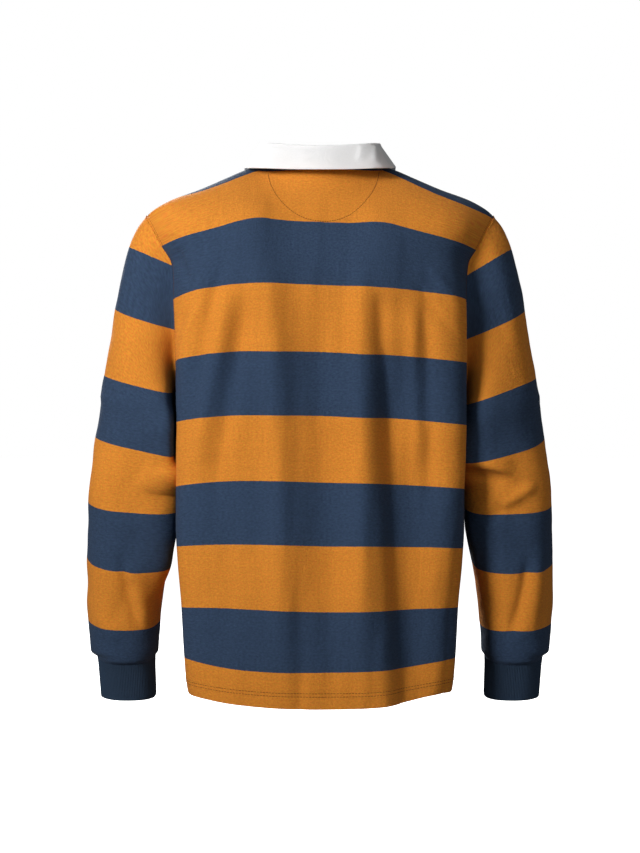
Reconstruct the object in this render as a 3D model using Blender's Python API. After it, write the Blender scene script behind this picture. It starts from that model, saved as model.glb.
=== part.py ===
"""Long-sleeved polo shirt in broad hoops, in its worn shape: hollow, and open at neck, hem and cuffs.

Metres, +Z up. The front faces -Y and the wearer's left is +X. The origin is on the centre line,
level with the neck points, where the wearer's neck and shoulders hold the shirt.
"""
import math

import bpy
import numpy as np

# Cloth walls and the gaps that keep sewn pieces apart
WALL = 0.0016
HEM_WALL = 0.0026
COLLAR_WALL = 0.0020
CUFF_WALL = 0.0024
PATCH_WALL = 0.0010
PATCH_GAP = 0.0020
PLACKET_WALL = 0.0014
SEAM_GAP = 0.0005
LAY_GAP = 0.0006  # between a piece and the panel that it lies on
COLLAR_GAP = 4 * LAY_GAP  # the least between the collar's fall and the panels
ARMHOLE_GAP = 0.0016  # along the sleeve, because the two walls meet at an angle

# Levels of the body, before the slope of the shoulders lowers them
HEM = -0.7415
HEM_TURN = 0.022
UNDERARM = -0.309
SLOPE_FROM = -0.200
TOP = 0.0

# Neck opening and shoulder tip
NECK_HALF_WIDTH = 0.085
NECK_BACK_DEPTH = 0.075
NECK_FRONT_DEPTH = 0.085
NECK_POINT_DROP = 0.003
NECK_BACK_DROP = 0.013
NECK_FRONT_DROP = 0.072
NECK_FRONT_CURVE = 1.15
TIP_X = 0.2400
NECK_SHARE = 0.4  # share of a panel's columns that end on the neckline at each side of the centre

# Section of the torso, and how the neckline's corners soften in the cloth below it
SECTION_POWER = 4.0
SOFTENING = 0.9
MOST_SOFTENED = 0.035

# Grid of each piece
BACK_COLUMNS = 20
FRONT_COLUMNS = 15
ROWS_BELOW = 14
ROWS_ABOVE = 12
SLEEVE_ROWS = 14
CUFF_ROWS = 3
COLLAR_STATIONS = 44
COLLAR_FALL_ROWS = 4
PLACKET_ROWS = 12
PATCH_ROWS = 7
PATCH_COLUMNS = 13

# A fold is measured to this many points of its path, and it fades in over a share of its length
PATH_POINTS = 25
FOLD_FADE = 0.25
# Folds fade out towards a side seam, by share of the half width, above the hem and where a
# sleeve lies against the body, by its turn
SEAM_FADE = 0.125
HEM_FADE = 0.083
FADE_BELOW_HEM = 0.01
BODY_SIDE_TURN = 180
BODY_SIDE_FADE = 45

# Placket, buttons and the half-moon patch inside the back
PLACKET_HALF_WIDTH = 0.0155
PLACKET_FOOT = 0.75 * UNDERARM  # on a row of the front's grid
PLACKET_BELOW_NECK = 0.002
UNDER_SHORTER = 0.004
OVER_LONGER = 0.006
OVER_WIDER = 0.0015
BUTTON_RADIUS = 0.0060
BUTTON_THICKNESS = 0.0026
BUTTON_RIM = 0.0010
BUTTON_BEVEL = 0.0006
BUTTON_SIDES = 20
BUTTON_LEVELS = (-0.085, -0.140, -0.195)
PATCH_HALF_WIDTH = 0.0765
PATCH_CENTRE = -0.005
PATCH_FOOT = -0.088
PATCH_END = 0.96
PATCH_BELOW_NECK = 0.003

# The collar's turned top edge, from its inner to its outer face and from its shoulder to its crown
COLLAR_ROLL = 0.0055
COLLAR_CROWN = 0.0040

SLEEVE_END = -0.6905
SLEEVE_POWER = 2.5  # 2 would be an ellipse
# The upper arm's outer side lies further forwards than its inner side, which ends below the elbow
SLEEVE_FORWARD = 0.45
FORWARD_END = -0.455
FORWARD_FADE = 0.10
CUFF_END = -0.7500
CUFF_GAP = 0.0008


def table(names, rows):
    """The rows' values, by column name."""
    return dict(zip(names.split(), np.array(rows, float).T))


# Torso: half width, and depth from the shoulder line to the back and to the front, by height
TORSO = table("height half_width back front", (
    (-0.7415, 0.1772, 0.1310, 0.1290),
    (-0.7200, 0.1826, 0.1300, 0.1285),
    (-0.6790, 0.1864, 0.1270, 0.1270),
    (-0.6090, 0.1903, 0.1220, 0.1255),
    (-0.5530, 0.1957, 0.1170, 0.1245),
    (-0.5000, 0.1985, 0.1130, 0.1240),
    (-0.4000, 0.1984, 0.1090, 0.1240),
    (-0.3180, 0.1984, 0.1120, 0.1245),
    (-0.2340, 0.1992, 0.1190, 0.1245),
    (-0.1900, 0.2004, 0.1205, 0.1230),
    (-0.1650, 0.2008, 0.1200, 0.1205),
    (-0.1450, 0.2026, 0.1190, 0.1180),
    (-0.1220, 0.2156, 0.1170, 0.1140),
    (-0.1000, 0.2272, 0.1140, 0.1090),
    (-0.0738, 0.2400, 0.1100, 0.1030),
    (0.0000, 0.2400, 0.1000, 0.0900),
))
# Armhole: how far its edge lies behind and in front of the shoulder line
ARMHOLE = table("height back front", (
    (-0.3180, 0.0000, 0.0000),
    (-0.3140, 0.0110, 0.0120),
    (-0.3000, 0.0215, 0.0240),
    (-0.2750, 0.0330, 0.0370),
    (-0.2340, 0.0450, 0.0520),
    (-0.1900, 0.0520, 0.0590),
    (-0.1450, 0.0540, 0.0600),
    (-0.1100, 0.0520, 0.0570),
    (-0.0738, 0.0450, 0.0490),
    (0.0000, 0.0450, 0.0490),
))
# Shoulder seam, from the neck point to the tip
SHOULDER = table("across height", (
    (0.0850, -0.0030),
    (0.1060, -0.0106),
    (0.1354, -0.0240),
    (0.1675, -0.0385),
    (0.2050, -0.0525),
    (0.2300, -0.0660),
    (0.2400, -0.0738),
))
# Rounding over the shoulders: how far down it reaches, and its power, from 0.5 for a quarter
# circle to 1 for a flat slope
CREST = table("across back_reach front_reach back_power front_power", (
    (0.0000, 0.160, 0.160, 0.95, 0.95),
    (0.0600, 0.150, 0.170, 0.90, 0.95),
    (0.0850, 0.125, 0.180, 0.72, 0.92),
    (0.1200, 0.100, 0.135, 0.60, 0.72),
    (0.1800, 0.070, 0.080, 0.50, 0.54),
    (0.2400, 0.045, 0.045, 0.50, 0.50),
))
# How much lower the cloth's level hangs at the sides than at the centre back, and how much
# higher the centre front is than the centre back
HANG = table("level droop rise", (
    (-0.7415, -0.014, 0.010),
    (-0.693, -0.008, 0.008),
    (-0.613, 0.000, 0.005),
    (-0.525, 0.006, 0.002),
    (-0.440, 0.009, 0.000),
    (-0.180, 0.009, 0.000),
    (-0.095, 0.011, 0.000),
    (0.000, 0.000, 0.000),
))
# Sleeve below the armhole: outer and inner side, centre and half depth front to back, how much the
# ring rises outwards, and how much it falls backwards
SLEEVE = table("height outer inner centre half_depth rise fall", (
    (-0.3343, 0.3096, 0.2024, -0.022, 0.0740, 0.20, 0.05),
    (-0.3860, 0.3172, 0.2020, -0.028, 0.0710, 0.13, 0.08),
    (-0.4420, 0.3230, 0.2020, -0.031, 0.0680, 0.05, 0.10),
    (-0.4985, 0.3268, 0.2056, -0.033, 0.0650, 0.00, 0.12),
    (-0.5556, 0.3280, 0.2150, -0.036, 0.0610, 0.00, 0.14),
    (-0.6130, 0.3290, 0.2248, -0.040, 0.0570, 0.00, 0.15),
    (-0.6414, 0.3276, 0.2276, -0.042, 0.0550, 0.00, 0.16),
    (-0.6698, 0.3260, 0.2296, -0.044, 0.0530, 0.00, 0.18),
    (-0.6845, 0.3245, 0.2304, -0.045, 0.0510, 0.00, 0.19),
    (-0.6905, 0.3158, 0.2342, -0.045, 0.0455, 0.00, 0.19),
))
# The same below the cuff seam
CUFF = table("height outer inner centre half_depth rise fall", (
    (-0.6905, 0.3148, 0.2352, -0.045, 0.0440, 0.00, 0.19),
    (-0.7050, 0.3133, 0.2356, -0.047, 0.0428, 0.00, 0.15),
    (-0.7270, 0.3118, 0.2352, -0.049, 0.0422, 0.00, 0.09),
    (-0.7500, 0.3102, 0.2346, -0.051, 0.0426, 0.00, 0.03),
))
# Upper sleeve: the inner and outer ends of each ring as it swings from the armhole to the arm
SWING = table("share inner_x inner_z outer_x outer_z", (
    (0.00, 0.1984, -0.3180, 0.2400, -0.0738),
    (0.07, 0.2010, -0.3162, 0.2522, -0.0893),
    (0.16, 0.2026, -0.3174, 0.2632, -0.1125),
    (0.28, 0.2032, -0.3204, 0.2732, -0.1450),
    (0.42, 0.2034, -0.3250, 0.2816, -0.1835),
    (0.60, 0.2033, -0.3310, 0.2908, -0.2280),
    (0.80, 0.2029, -0.3380, 0.3000, -0.2750),
    (1.00, 0.2024, -0.3450, 0.3096, -0.3236),
))
# Collar, by the turn round the neck from the centre back: height of the stand and its lean, and
# where the lower edge of the fall lies from the neck seam: outwards, down and away from the front
COLLAR = table("turn stand lean edge_out edge_down edge_side", (
    (0.0, 0.0265, 0.0030, 0.0215, 0.0060, 0.0000),
    (45.0, 0.0280, 0.0000, 0.0215, 0.0060, 0.0000),
    (90.0, 0.0310, -0.0060, 0.0205, 0.0030, 0.0000),
    (125.0, 0.0290, -0.0060, 0.0220, 0.0300, 0.0040),
    (155.0, 0.0240, -0.0030, 0.0300, 0.0480, 0.0240),
    (179.0, 0.0205, 0.0000, 0.0370, 0.0570, 0.0480),
))
# Largest folds, as soft ridges (+) or troughs (-): each runs between two points, by way of a third
BACK_FOLDS = table("x1 z1 x2 z2 x3 z3 half_width depth", (
    (0.072, -0.150, 0.064, -0.330, 0.038, -0.735, 0.024, 0.0090),
    (-0.054, -0.110, -0.056, -0.400, -0.046, -0.735, 0.021, 0.0085),
    (-0.096, -0.240, -0.108, -0.480, -0.128, -0.740, 0.022, -0.0120),
    (0.114, -0.240, 0.118, -0.420, 0.124, -0.740, 0.026, -0.0070),
    (0.010, -0.180, 0.004, -0.400, -0.006, -0.680, 0.018, -0.0050),
    (-0.170, -0.160, -0.176, -0.400, -0.172, -0.740, 0.026, 0.0080),
))
FRONT_FOLDS = table("x1 z1 x2 z2 x3 z3 half_width depth", (
    (0.105, -0.200, 0.098, -0.430, 0.112, -0.715, 0.022, 0.0045),
    (0.058, -0.260, 0.052, -0.450, 0.064, -0.715, 0.021, -0.0050),
    (-0.078, -0.240, -0.070, -0.430, -0.082, -0.715, 0.022, 0.0040),
    (-0.122, -0.200, -0.112, -0.420, -0.128, -0.690, 0.020, -0.0055),
    (0.000, -0.300, 0.006, -0.460, 0.000, -0.700, 0.022, 0.0030),
))
# Folds of a sleeve, by the turn round it from its outer side over the back, in degrees
LEFT_SLEEVE_FOLDS = table("turn1 z1 turn2 z2 turn3 z3 half_width depth", (
    (150.0, -0.425, 120.0, -0.440, 95.0, -0.436, 0.016, -0.0035),
    (110.0, -0.570, 90.0, -0.610, 75.0, -0.650, 0.016, 0.0030),
    (250.0, -0.400, 280.0, -0.430, 310.0, -0.425, 0.018, -0.0045),
    (240.0, -0.520, 270.0, -0.560, 300.0, -0.600, 0.018, 0.0035),
))
RIGHT_SLEEVE_FOLDS = table("turn1 z1 turn2 z2 turn3 z3 half_width depth", (
    (150.0, -0.385, 115.0, -0.405, 80.0, -0.425, 0.016, -0.0050),
    (120.0, -0.560, 95.0, -0.590, 70.0, -0.650, 0.016, 0.0035),
    (245.0, -0.410, 275.0, -0.425, 310.0, -0.405, 0.018, -0.0045),
    (235.0, -0.540, 265.0, -0.575, 300.0, -0.625, 0.018, 0.0035),
))

# Colour and roughness
FINISHES = {
    "orange_jersey": ((0.573, 0.196, 0.025), 0.90),
    "navy_jersey": ((0.031, 0.051, 0.093), 0.90),
    "navy_rib": ((0.021, 0.034, 0.060), 0.92),
    "white_twill": ((0.860, 0.860, 0.860), 0.85),
    "white_rubber": ((0.780, 0.770, 0.740), 0.45),
}


def curve(rows, key, name):
    """A smooth function of one column that gives another, with no overshoot between the rows."""
    order = np.argsort(rows[key])
    places = rows[key][order]
    values = rows[name][order]
    steps = np.diff(places)
    slopes = np.diff(values) / steps
    tangents = np.concatenate(([slopes[0]], np.zeros(len(slopes) - 1), [slopes[-1]]))
    for i in range(1, len(slopes)):
        before, after = slopes[i - 1], slopes[i]
        if before * after > 0:
            tangents[i] = 2 * before * after / (before + after)

    def value(at):
        at = np.clip(at, places[0], places[-1])
        i = np.clip(np.searchsorted(places, at, side="right") - 1, 0, len(steps) - 1)
        t = (at - places[i]) / steps[i]
        rest = 1 - t
        return (
            (1 + 2 * t) * rest ** 2 * values[i]
            + t * rest ** 2 * steps[i] * tangents[i]
            + t ** 2 * (3 - 2 * t) * values[i + 1]
            - t ** 2 * rest * steps[i] * tangents[i + 1]
        )

    return value


def ease(share):
    """From 0 to 1, level at both ends."""
    share = np.clip(share, 0, 1)
    return share * share * (3 - 2 * share)


half_width = curve(TORSO, "height", "half_width")
full_depth = {side: curve(TORSO, "height", side) for side in ("back", "front")}
armhole_depth = {side: curve(ARMHOLE, "height", side) for side in ("back", "front")}
crest_reach = {side: curve(CREST, "across", side + "_reach") for side in ("back", "front")}
crest_power = {side: curve(CREST, "across", side + "_power") for side in ("back", "front")}
shoulder_height = curve(SHOULDER, "across", "height")
droop = curve(HANG, "level", "droop")
front_rise = curve(HANG, "level", "rise")
FACING = {"back": 1.0, "front": -1.0}


def slope_share(level):
    """How much of the shoulders' slope has set in at a level."""
    return np.clip((level - SLOPE_FROM) / (TOP - SLOPE_FROM), 0, 1) ** 2


def side_height(level):
    """Real height of the side seam or the armhole's edge at a level."""
    return level - droop(level) + (shoulder_height(TIP_X) - TOP) * slope_share(level)


def side_x(level):
    return half_width(side_height(level))


def top_edge(side, across):
    """Depth and height of a panel's top edge, the neckline and the shoulder seam."""
    inside = np.clip(np.abs(across) / NECK_HALF_WIDTH, 0, 1)
    opening = np.sqrt(1 - inside ** 2)
    if side == "back":
        depth, drop = NECK_BACK_DEPTH * opening, NECK_BACK_DROP * opening
    else:
        depth, drop = NECK_FRONT_DEPTH * opening, NECK_FRONT_DROP * opening ** NECK_FRONT_CURVE
    on_neck = np.abs(across) < NECK_HALF_WIDTH
    return depth, np.where(on_neck, -NECK_POINT_DROP - drop, shoulder_height(np.abs(across)))


def softened_top_edge(side, across, level):
    """The top edge as the cloth below it feels it: its corners even out with the distance."""
    reach = np.minimum((TOP - level) * SOFTENING, MOST_SOFTENED) * (1 - np.abs(across) / TIP_X)
    places = np.linspace(-1, 1, 9)
    weights = 1.1 - places ** 2
    edges = [top_edge(side, across + reach * place) for place in places]
    depth = sum(weight * edge[0] for weight, edge in zip(weights, edges)) / weights.sum()
    height = sum(weight * edge[1] for weight, edge in zip(weights, edges)) / weights.sum()
    return depth, height


def panel_points(side, share, crest_x, level):
    """Middle of a panel's cloth: share of the half width, x of the column's top, and level."""
    share, crest_x, level = np.broadcast_arrays(share, crest_x, level)
    top_depth, top_height = softened_top_edge(side, crest_x, level)
    z = level - droop(level) * share ** 2 + (top_height - TOP) * slope_share(level)
    if side == "front":
        z = z + front_rise(level) * (1 - share ** 2)
    x = share * side_x(level)
    full, edge = full_depth[side](z), armhole_depth[side](z)
    # The armhole cuts off the sides of a section that would be a little wider without it
    cut = (1 - (edge / full) ** SECTION_POWER) ** (1 / SECTION_POWER)
    section = full * np.clip(1 - np.abs(share * cut) ** SECTION_POWER, 0, 1) ** (1 / SECTION_POWER)
    fallen = np.clip((top_height - z) / crest_reach[side](np.abs(crest_x)), 0, 1)
    rounding = (1 - (1 - fallen) ** 2) ** crest_power[side](np.abs(crest_x))
    depth = top_depth + (section - top_depth) * rounding
    return np.stack((x, FACING[side] * depth, z), axis=-1)


def panel_shares(columns):
    """Each column's share of the half width low down and at the top."""
    place = np.linspace(-1, 1, 2 * columns + 1)
    size = np.abs(place)
    low = np.sin(size * math.pi / 2)
    neck = NECK_HALF_WIDTH * np.sin(size / NECK_SHARE * math.pi / 2)
    past = (size - NECK_SHARE) / (1 - NECK_SHARE)
    shoulder = NECK_HALF_WIDTH + (TIP_X - NECK_HALF_WIDTH) * past
    top = np.where(size <= NECK_SHARE, neck, shoulder)
    return np.sign(place) * low, np.sign(place) * top


def panel_levels():
    """Rows from the hem to the underarm, then to the shoulder, closer at the armhole's ends."""
    hem = np.array((HEM, HEM + HEM_TURN / 2, HEM + HEM_TURN))
    below = np.linspace(HEM + HEM_TURN, UNDERARM, ROWS_BELOW - 1)[1:]
    return np.concatenate((hem, below, armhole_levels()[1:]))


def armhole_levels():
    share = (1 - np.cos(np.linspace(0, math.pi, ROWS_ABOVE + 1))) / 2
    return UNDERARM + (TOP - UNDERARM) * share


def fold_relief(rows, across, up):
    """How far the folds move the cloth out at places given by two coordinates."""
    t = np.linspace(0, 1, PATH_POINTS)
    places = np.stack(np.broadcast_arrays(across, up), axis=-1)
    relief = np.zeros(places.shape[:-1])
    for *ends, width, depth in zip(*rows.values()):
        a, b, c = np.reshape(ends, (3, 2))
        control = 2 * b - (a + c) / 2
        path = np.outer((1 - t) ** 2, a) + np.outer(2 * t * (1 - t), control) + np.outer(t ** 2, c)
        nearest = np.linalg.norm(places[..., None, :] - path, axis=-1).argmin(axis=-1)
        # Measured to the path's line beside its nearest point, which leaves no scallops
        tangent = np.gradient(path, axis=0)[nearest]
        off = places - path[nearest]
        step = np.clip((off * tangent).sum(axis=-1) / (tangent ** 2).sum(axis=-1), -0.6, 0.6)
        off -= tangent * step[..., None]
        along = t[nearest] + step * t[1]
        fading = ease(along / FOLD_FADE) * ease((1 - along) / FOLD_FADE)
        relief += depth * fading * np.exp(-(off ** 2).sum(axis=-1) / width ** 2)
    return relief


def grid_normals(grid, wraps):
    """Unit normals of a grid of points whose rows run across and whose columns run up."""
    if wraps:
        across = np.roll(grid, -1, axis=1) - np.roll(grid, 1, axis=1)
    else:
        across = np.gradient(grid, axis=1)
    up = np.gradient(grid, axis=0)
    normals = np.cross(across, up)
    return normals / np.linalg.norm(normals, axis=-1, keepdims=True)


def denser(grid, times=6):
    """The same grid with each cell divided, flat between its points."""
    for axis in (0, 1):
        count = grid.shape[axis]
        place = np.linspace(0, count - 1, (count - 1) * times + 1)
        before = np.minimum(place.astype(int), count - 2)
        part = (place - before).reshape([-1 if i == axis else 1 for i in range(3)])
        start, end = grid.take(before, axis), grid.take(before + 1, axis)
        grid = start + (end - start) * part
    return grid


def wall_mesh(grid, normals, outer, inner, wraps=False, keep=None):
    """Vertices and triangles of a closed wall round a grid: outer and inner are its half walls."""
    rows, columns = grid.shape[:2]
    outer = np.broadcast_to(np.reshape(outer, (-1, 1, 1)), (rows, columns, 1))
    inner = np.broadcast_to(np.reshape(inner, (-1, 1, 1)), (rows, columns, 1))
    points = np.concatenate((
        (grid + normals * outer).reshape(-1, 3),
        (grid - normals * inner).reshape(-1, 3),
    ))
    under = rows * columns
    faces = []
    edges = set()
    for row in range(rows - 1):
        for column in range(columns if wraps else columns - 1):
            if keep is not None and not keep[row, column]:
                continue
            after = (column + 1) % columns
            a, b = row * columns + column, row * columns + after
            c, d = b + columns, a + columns
            faces += [(a, b, c), (a, c, d)]
            faces += [(under + a, under + c, under + b), (under + a, under + d, under + c)]
            edges.update(((a, b), (b, c), (c, d), (d, a)))
    for a, b in sorted(edges):
        if (b, a) not in edges:
            faces += [(a, under + a, under + b), (a, under + b, b)]
    used = sorted({corner for face in faces for corner in face})
    renumbered = {old: new for new, old in enumerate(used)}
    return points[used], [tuple(renumbered[corner] for corner in face) for face in faces]


def finish(name):
    """The named material, made on its first use."""
    if name in bpy.data.materials:
        return bpy.data.materials[name]
    colour, roughness = FINISHES[name]
    material = bpy.data.materials.new(name)
    material.use_nodes = True
    shader = material.node_tree.nodes["Principled BSDF"]
    shader.inputs["Base Color"].default_value = (*colour, 1.0)
    shader.inputs["Roughness"].default_value = roughness
    shader.inputs["Metallic"].default_value = 0.0
    return material


def add_piece(name, points, faces, material):
    mesh = bpy.data.meshes.new(name)
    mesh.from_pydata([tuple(point) for point in points], [], faces)
    mesh.update()
    mesh.shade_smooth()
    mesh.set_sharp_from_angle(angle=math.radians(50))
    mesh.materials.append(finish(material))
    piece = bpy.data.objects.new(name, mesh)
    bpy.context.scene.collection.objects.link(piece)
    return piece


def mirrored(points, faces):
    """The same piece for the wearer's other side."""
    return points * np.array((-1.0, 1.0, 1.0)), [(a, c, b) for a, b, c in faces]


def panel_grid(side, columns, folds):
    """Middle points and normals of the back or the front."""
    low, top = panel_shares(columns)
    levels = panel_levels()[:, None]
    if side == "front":
        middle = columns
        top[middle - 1:middle + 2] = np.array((-1, 0, 1)) * PLACKET_HALF_WIDTH
    lean = ease((levels - UNDERARM) / (TOP - UNDERARM))
    share = low + (top / TIP_X - low) * lean
    if side == "front":
        share[:, middle - 1:middle + 2] = top[middle - 1:middle + 2] / side_x(levels)
    grid = panel_points(side, share, top, levels)
    normals = grid_normals(grid, False) * -FACING[side]
    fading = ease((1 - np.abs(share)) / SEAM_FADE) * ease((levels - HEM + FADE_BELOW_HEM) / HEM_FADE)
    relief = fold_relief(folds, grid[..., 0], grid[..., 2]) * fading
    grid = grid + normals * relief[..., None]
    normals = grid_normals(grid, False) * -FACING[side]
    seam = np.zeros(grid.shape[:2], bool)
    seam[:, (0, -1)] = levels <= UNDERARM
    seam[-1] = np.abs(top) >= NECK_HALF_WIDTH
    normals[seam, 1] = 0
    normals /= np.linalg.norm(normals, axis=-1, keepdims=True)
    grid[..., 1] += FACING[side] * SEAM_GAP / 2
    return grid, normals, levels[:, 0]


BACK = ("back", BACK_COLUMNS, BACK_FOLDS)
FRONT = ("front", FRONT_COLUMNS, FRONT_FOLDS)


def add_panel(side, columns, folds):
    grid, normals, levels = panel_grid(side, columns, folds)
    wall = np.where(levels < HEM + HEM_TURN * 0.9, HEM_WALL, WALL)
    keep = np.ones((len(levels) - 1, 2 * columns), bool)
    if side == "front":
        above = levels[:-1] > PLACKET_FOOT - SEAM_GAP
        keep[above, columns - 1:columns + 1] = False
    # The columns run from -X to +X, so the back's grid is turned round to face out
    if side == "back":
        grid, normals, keep = grid[:, ::-1], normals[:, ::-1], keep[:, ::-1]
    points, faces = wall_mesh(grid, normals, WALL / 2, wall - WALL / 2, keep=keep)
    add_piece(side + "_panel", points, faces, "orange_jersey")


def sleeve_ring(rows, height, count):
    """One ring round the arm, from the inner side over the back, as count points."""
    turn = math.pi - np.arange(count) * 2 * math.pi / count
    outer, inner, centre, half_depth, rise, fall = (
        curve(rows, "height", name)
        for name in ("outer", "inner", "centre", "half_depth", "rise", "fall")
    )
    along, over = np.cos(turn), np.sin(turn)
    full = (np.abs(along) ** SLEEVE_POWER + np.abs(over) ** SLEEVE_POWER) ** (-1 / SLEEVE_POWER)
    along, over = along * full, over * full
    half = (outer(height) - inner(height)) / 2
    z = height + rise(height) * half * along - fall(height) * half_depth(height) * over
    low, high = rows["height"].min(), rows["height"].max()
    at = np.clip(z, low, high)
    middle, half = (outer(at) + inner(at)) / 2, (outer(at) - inner(at)) / 2
    x = middle + half * along
    forward = SLEEVE_FORWARD * ease((height - FORWARD_END) / FORWARD_FADE)
    y = centre(height) + half_depth(height) * over - forward * half * along
    return np.stack((x, y, z), axis=-1)


def armhole_ring():
    """The panels' armhole edges as one ring, from the underarm up the back and down the front."""
    levels = armhole_levels()
    rings = []
    for side in ("back", "front"):
        rings.append(panel_points(side, 1.0, TIP_X, levels))
    return np.concatenate((rings[0], rings[1][-2:0:-1]))


def swing_rings(count):
    """Rings that swing from the armhole to the first ring round the arm."""
    hole = armhole_ring()
    arm = sleeve_ring(SLEEVE, SLEEVE["height"][0], count)
    ends = {name: curve(SWING, "share", name) for name in SWING if name != "share"}

    def frame(share):
        inner = np.array((ends["inner_x"](share), ends["inner_z"](share)))
        outer = np.array((ends["outer_x"](share), ends["outer_z"](share)))
        along = outer - inner
        return inner, along, np.array((-along[1], along[0])) / np.linalg.norm(along)

    def local(ring, share):
        inner, along, off = frame(share)
        flat = ring[:, (0, 2)] - inner
        return flat @ along / (along @ along), flat @ off, ring[:, 1]

    start, end = local(hole, 0.0), local(arm, 1.0)
    rings = []
    for share in SWING["share"][:-1]:
        weight = ease(share)
        along_part, off_part, depth = (
            a + (b - a) * weight for a, b in zip(start, end)
        )
        inner, along, off = frame(share)
        flat = inner + np.outer(along_part, along) + np.outer(off_part, off)
        rings.append(np.stack((flat[:, 0], depth, flat[:, 1]), axis=-1))
    leaving = rings[1] - rings[0]
    leaving /= np.linalg.norm(leaving, axis=-1, keepdims=True)
    rings[0] = rings[0] + leaving * ARMHOLE_GAP
    return rings


def ring_turns(grid, centre_x):
    """Turn round the sleeve of each of its points, in degrees from its outer side over the back."""
    centre_y = grid[..., 1].mean(axis=1, keepdims=True)
    turn = np.degrees(np.arctan2(grid[..., 1] - centre_y, grid[..., 0] - centre_x))
    return turn % 360


def sleeve_grid(folds):
    """Middle points and normals of the wearer's left sleeve, from the cuff up to the armhole."""
    count = 2 * ROWS_ABOVE
    heights = np.linspace(SLEEVE["height"][0], SLEEVE["height"][-2], SLEEVE_ROWS)
    heights = np.append(heights, SLEEVE["height"][-1])
    rings = swing_rings(count) + [sleeve_ring(SLEEVE, height, count) for height in heights]
    grid = np.array(rings)[::-1]
    normals = grid_normals(grid, True)
    centre_x = (grid[..., 0].max(axis=1) + grid[..., 0].min(axis=1))[:, None] / 2
    turns = ring_turns(grid, centre_x)
    arm = SLEEVE["half_depth"].mean()
    flat_folds = dict(folds)
    for name in ("turn1", "turn2", "turn3"):
        flat_folds[name] = np.radians(folds[name]) * arm
    relief = fold_relief(flat_folds, np.radians(turns) * arm, grid[..., 2])
    clear_of_body = ease(np.abs((turns - BODY_SIDE_TURN) / BODY_SIDE_FADE))
    grid = grid + normals * (relief * clear_of_body)[..., None]
    return grid, grid_normals(grid, True)


def add_sleeve(name, folds, right):
    grid, normals = sleeve_grid(folds)
    points, faces = wall_mesh(grid, normals, WALL / 2, WALL / 2, wraps=True)
    if right:
        points, faces = mirrored(points, faces)
    add_piece(name, points, faces, "navy_jersey")


def add_cuff(name, right):
    heights = np.linspace(CUFF_END, SLEEVE_END - CUFF_GAP, CUFF_ROWS + 1)
    grid = np.array([sleeve_ring(CUFF, height, 2 * ROWS_ABOVE) for height in heights])
    points, faces = wall_mesh(grid, grid_normals(grid, True), CUFF_WALL / 2, CUFF_WALL / 2, wraps=True)
    if right:
        points, faces = mirrored(points, faces)
    add_piece(name, points, faces, "navy_rib")


def add_collar():
    """A strip round the neck: it stands up from the neck seam, rolls over and falls."""
    turns = np.linspace(-COLLAR["turn"][-1], COLLAR["turn"][-1], COLLAR_STATIONS + 1)
    angle = np.radians(turns)
    across = NECK_HALF_WIDTH * np.sin(angle)
    behind = np.abs(turns) <= 90
    seam = np.zeros((len(turns), 3))
    for side, chosen in (("back", behind), ("front", ~behind)):
        depth, height = top_edge(side, across[chosen] * 0.99999)
        seam[chosen] = np.stack((across[chosen], FACING[side] * depth, height), axis=-1)
    depth = (NECK_BACK_DEPTH + NECK_FRONT_DEPTH) / 2
    out = np.stack((np.sin(angle) / NECK_HALF_WIDTH, np.cos(angle) / depth, angle * 0), axis=-1)
    out /= np.linalg.norm(out, axis=-1, keepdims=True)
    side_way = np.stack((out[:, 1], -out[:, 0], out[:, 2]), axis=-1) * -np.sign(turns)[:, None]
    up = np.array((0.0, 0.0, 1.0))
    size = np.abs(turns)
    stand, lean, edge_out, edge_down, edge_side = (
        curve(COLLAR, "turn", name)(size)[:, None]
        for name in ("stand", "lean", "edge_out", "edge_down", "edge_side")
    )
    foot = seam + up * (WALL / 2 + 2 * LAY_GAP)
    top_in = foot + up * (stand - COLLAR_CROWN) + out * lean
    crown = foot + up * stand + out * (lean + COLLAR_ROLL / 2)
    top_out = foot + up * (stand - COLLAR_CROWN) + out * (lean + COLLAR_ROLL)
    edge = seam + out * edge_out - up * edge_down + side_way * edge_side
    rows = [foot, foot + (top_in - foot) * 0.5, top_in, crown, top_out]
    fallen = np.linspace(0, 1, COLLAR_FALL_ROWS + 1)[1:]
    rows += [top_out + (edge - top_out) * share for share in fallen]
    grid = np.array(rows)
    cloth, facing = [], []
    for panel, normals, _ in (panel_grid(*BACK), panel_grid(*FRONT)):
        cloth.append(denser(panel[-ROWS_ABOVE:]).reshape(-1, 3))
        facing.append(denser(normals[-ROWS_ABOVE:]).reshape(-1, 3))
    cloth, facing = np.concatenate(cloth), np.concatenate(facing)
    room = WALL / 2 + COLLAR_WALL / 2 + COLLAR_GAP
    first = len(rows) - COLLAR_FALL_ROWS - 1
    for row in list(range(first, len(rows))) * 2:
        apart = grid[row][:, None] - cloth
        nearest = (apart ** 2).sum(axis=-1).argmin(axis=1)
        height = np.einsum("ij,ij->i", grid[row] - cloth[nearest], facing[nearest])
        grid[row] += facing[nearest] * np.clip(room - height, 0, None)[:, None]
    normals = grid_normals(grid, False)
    points, faces = wall_mesh(grid, normals, COLLAR_WALL / 2, COLLAR_WALL / 2)
    add_piece("collar", points, faces, "white_twill")


def strip_on_front(half, levels, offset):
    """Middle points and normals of a strip that follows the centre front, moved out by an offset."""
    across = np.linspace(-half, half, 3)
    grid = panel_points("front", across / side_x(levels[:, None]), across, levels[:, None])
    grid[..., 1] -= SEAM_GAP / 2
    normals = grid_normals(grid, False)
    return grid + normals * offset, normals


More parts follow.
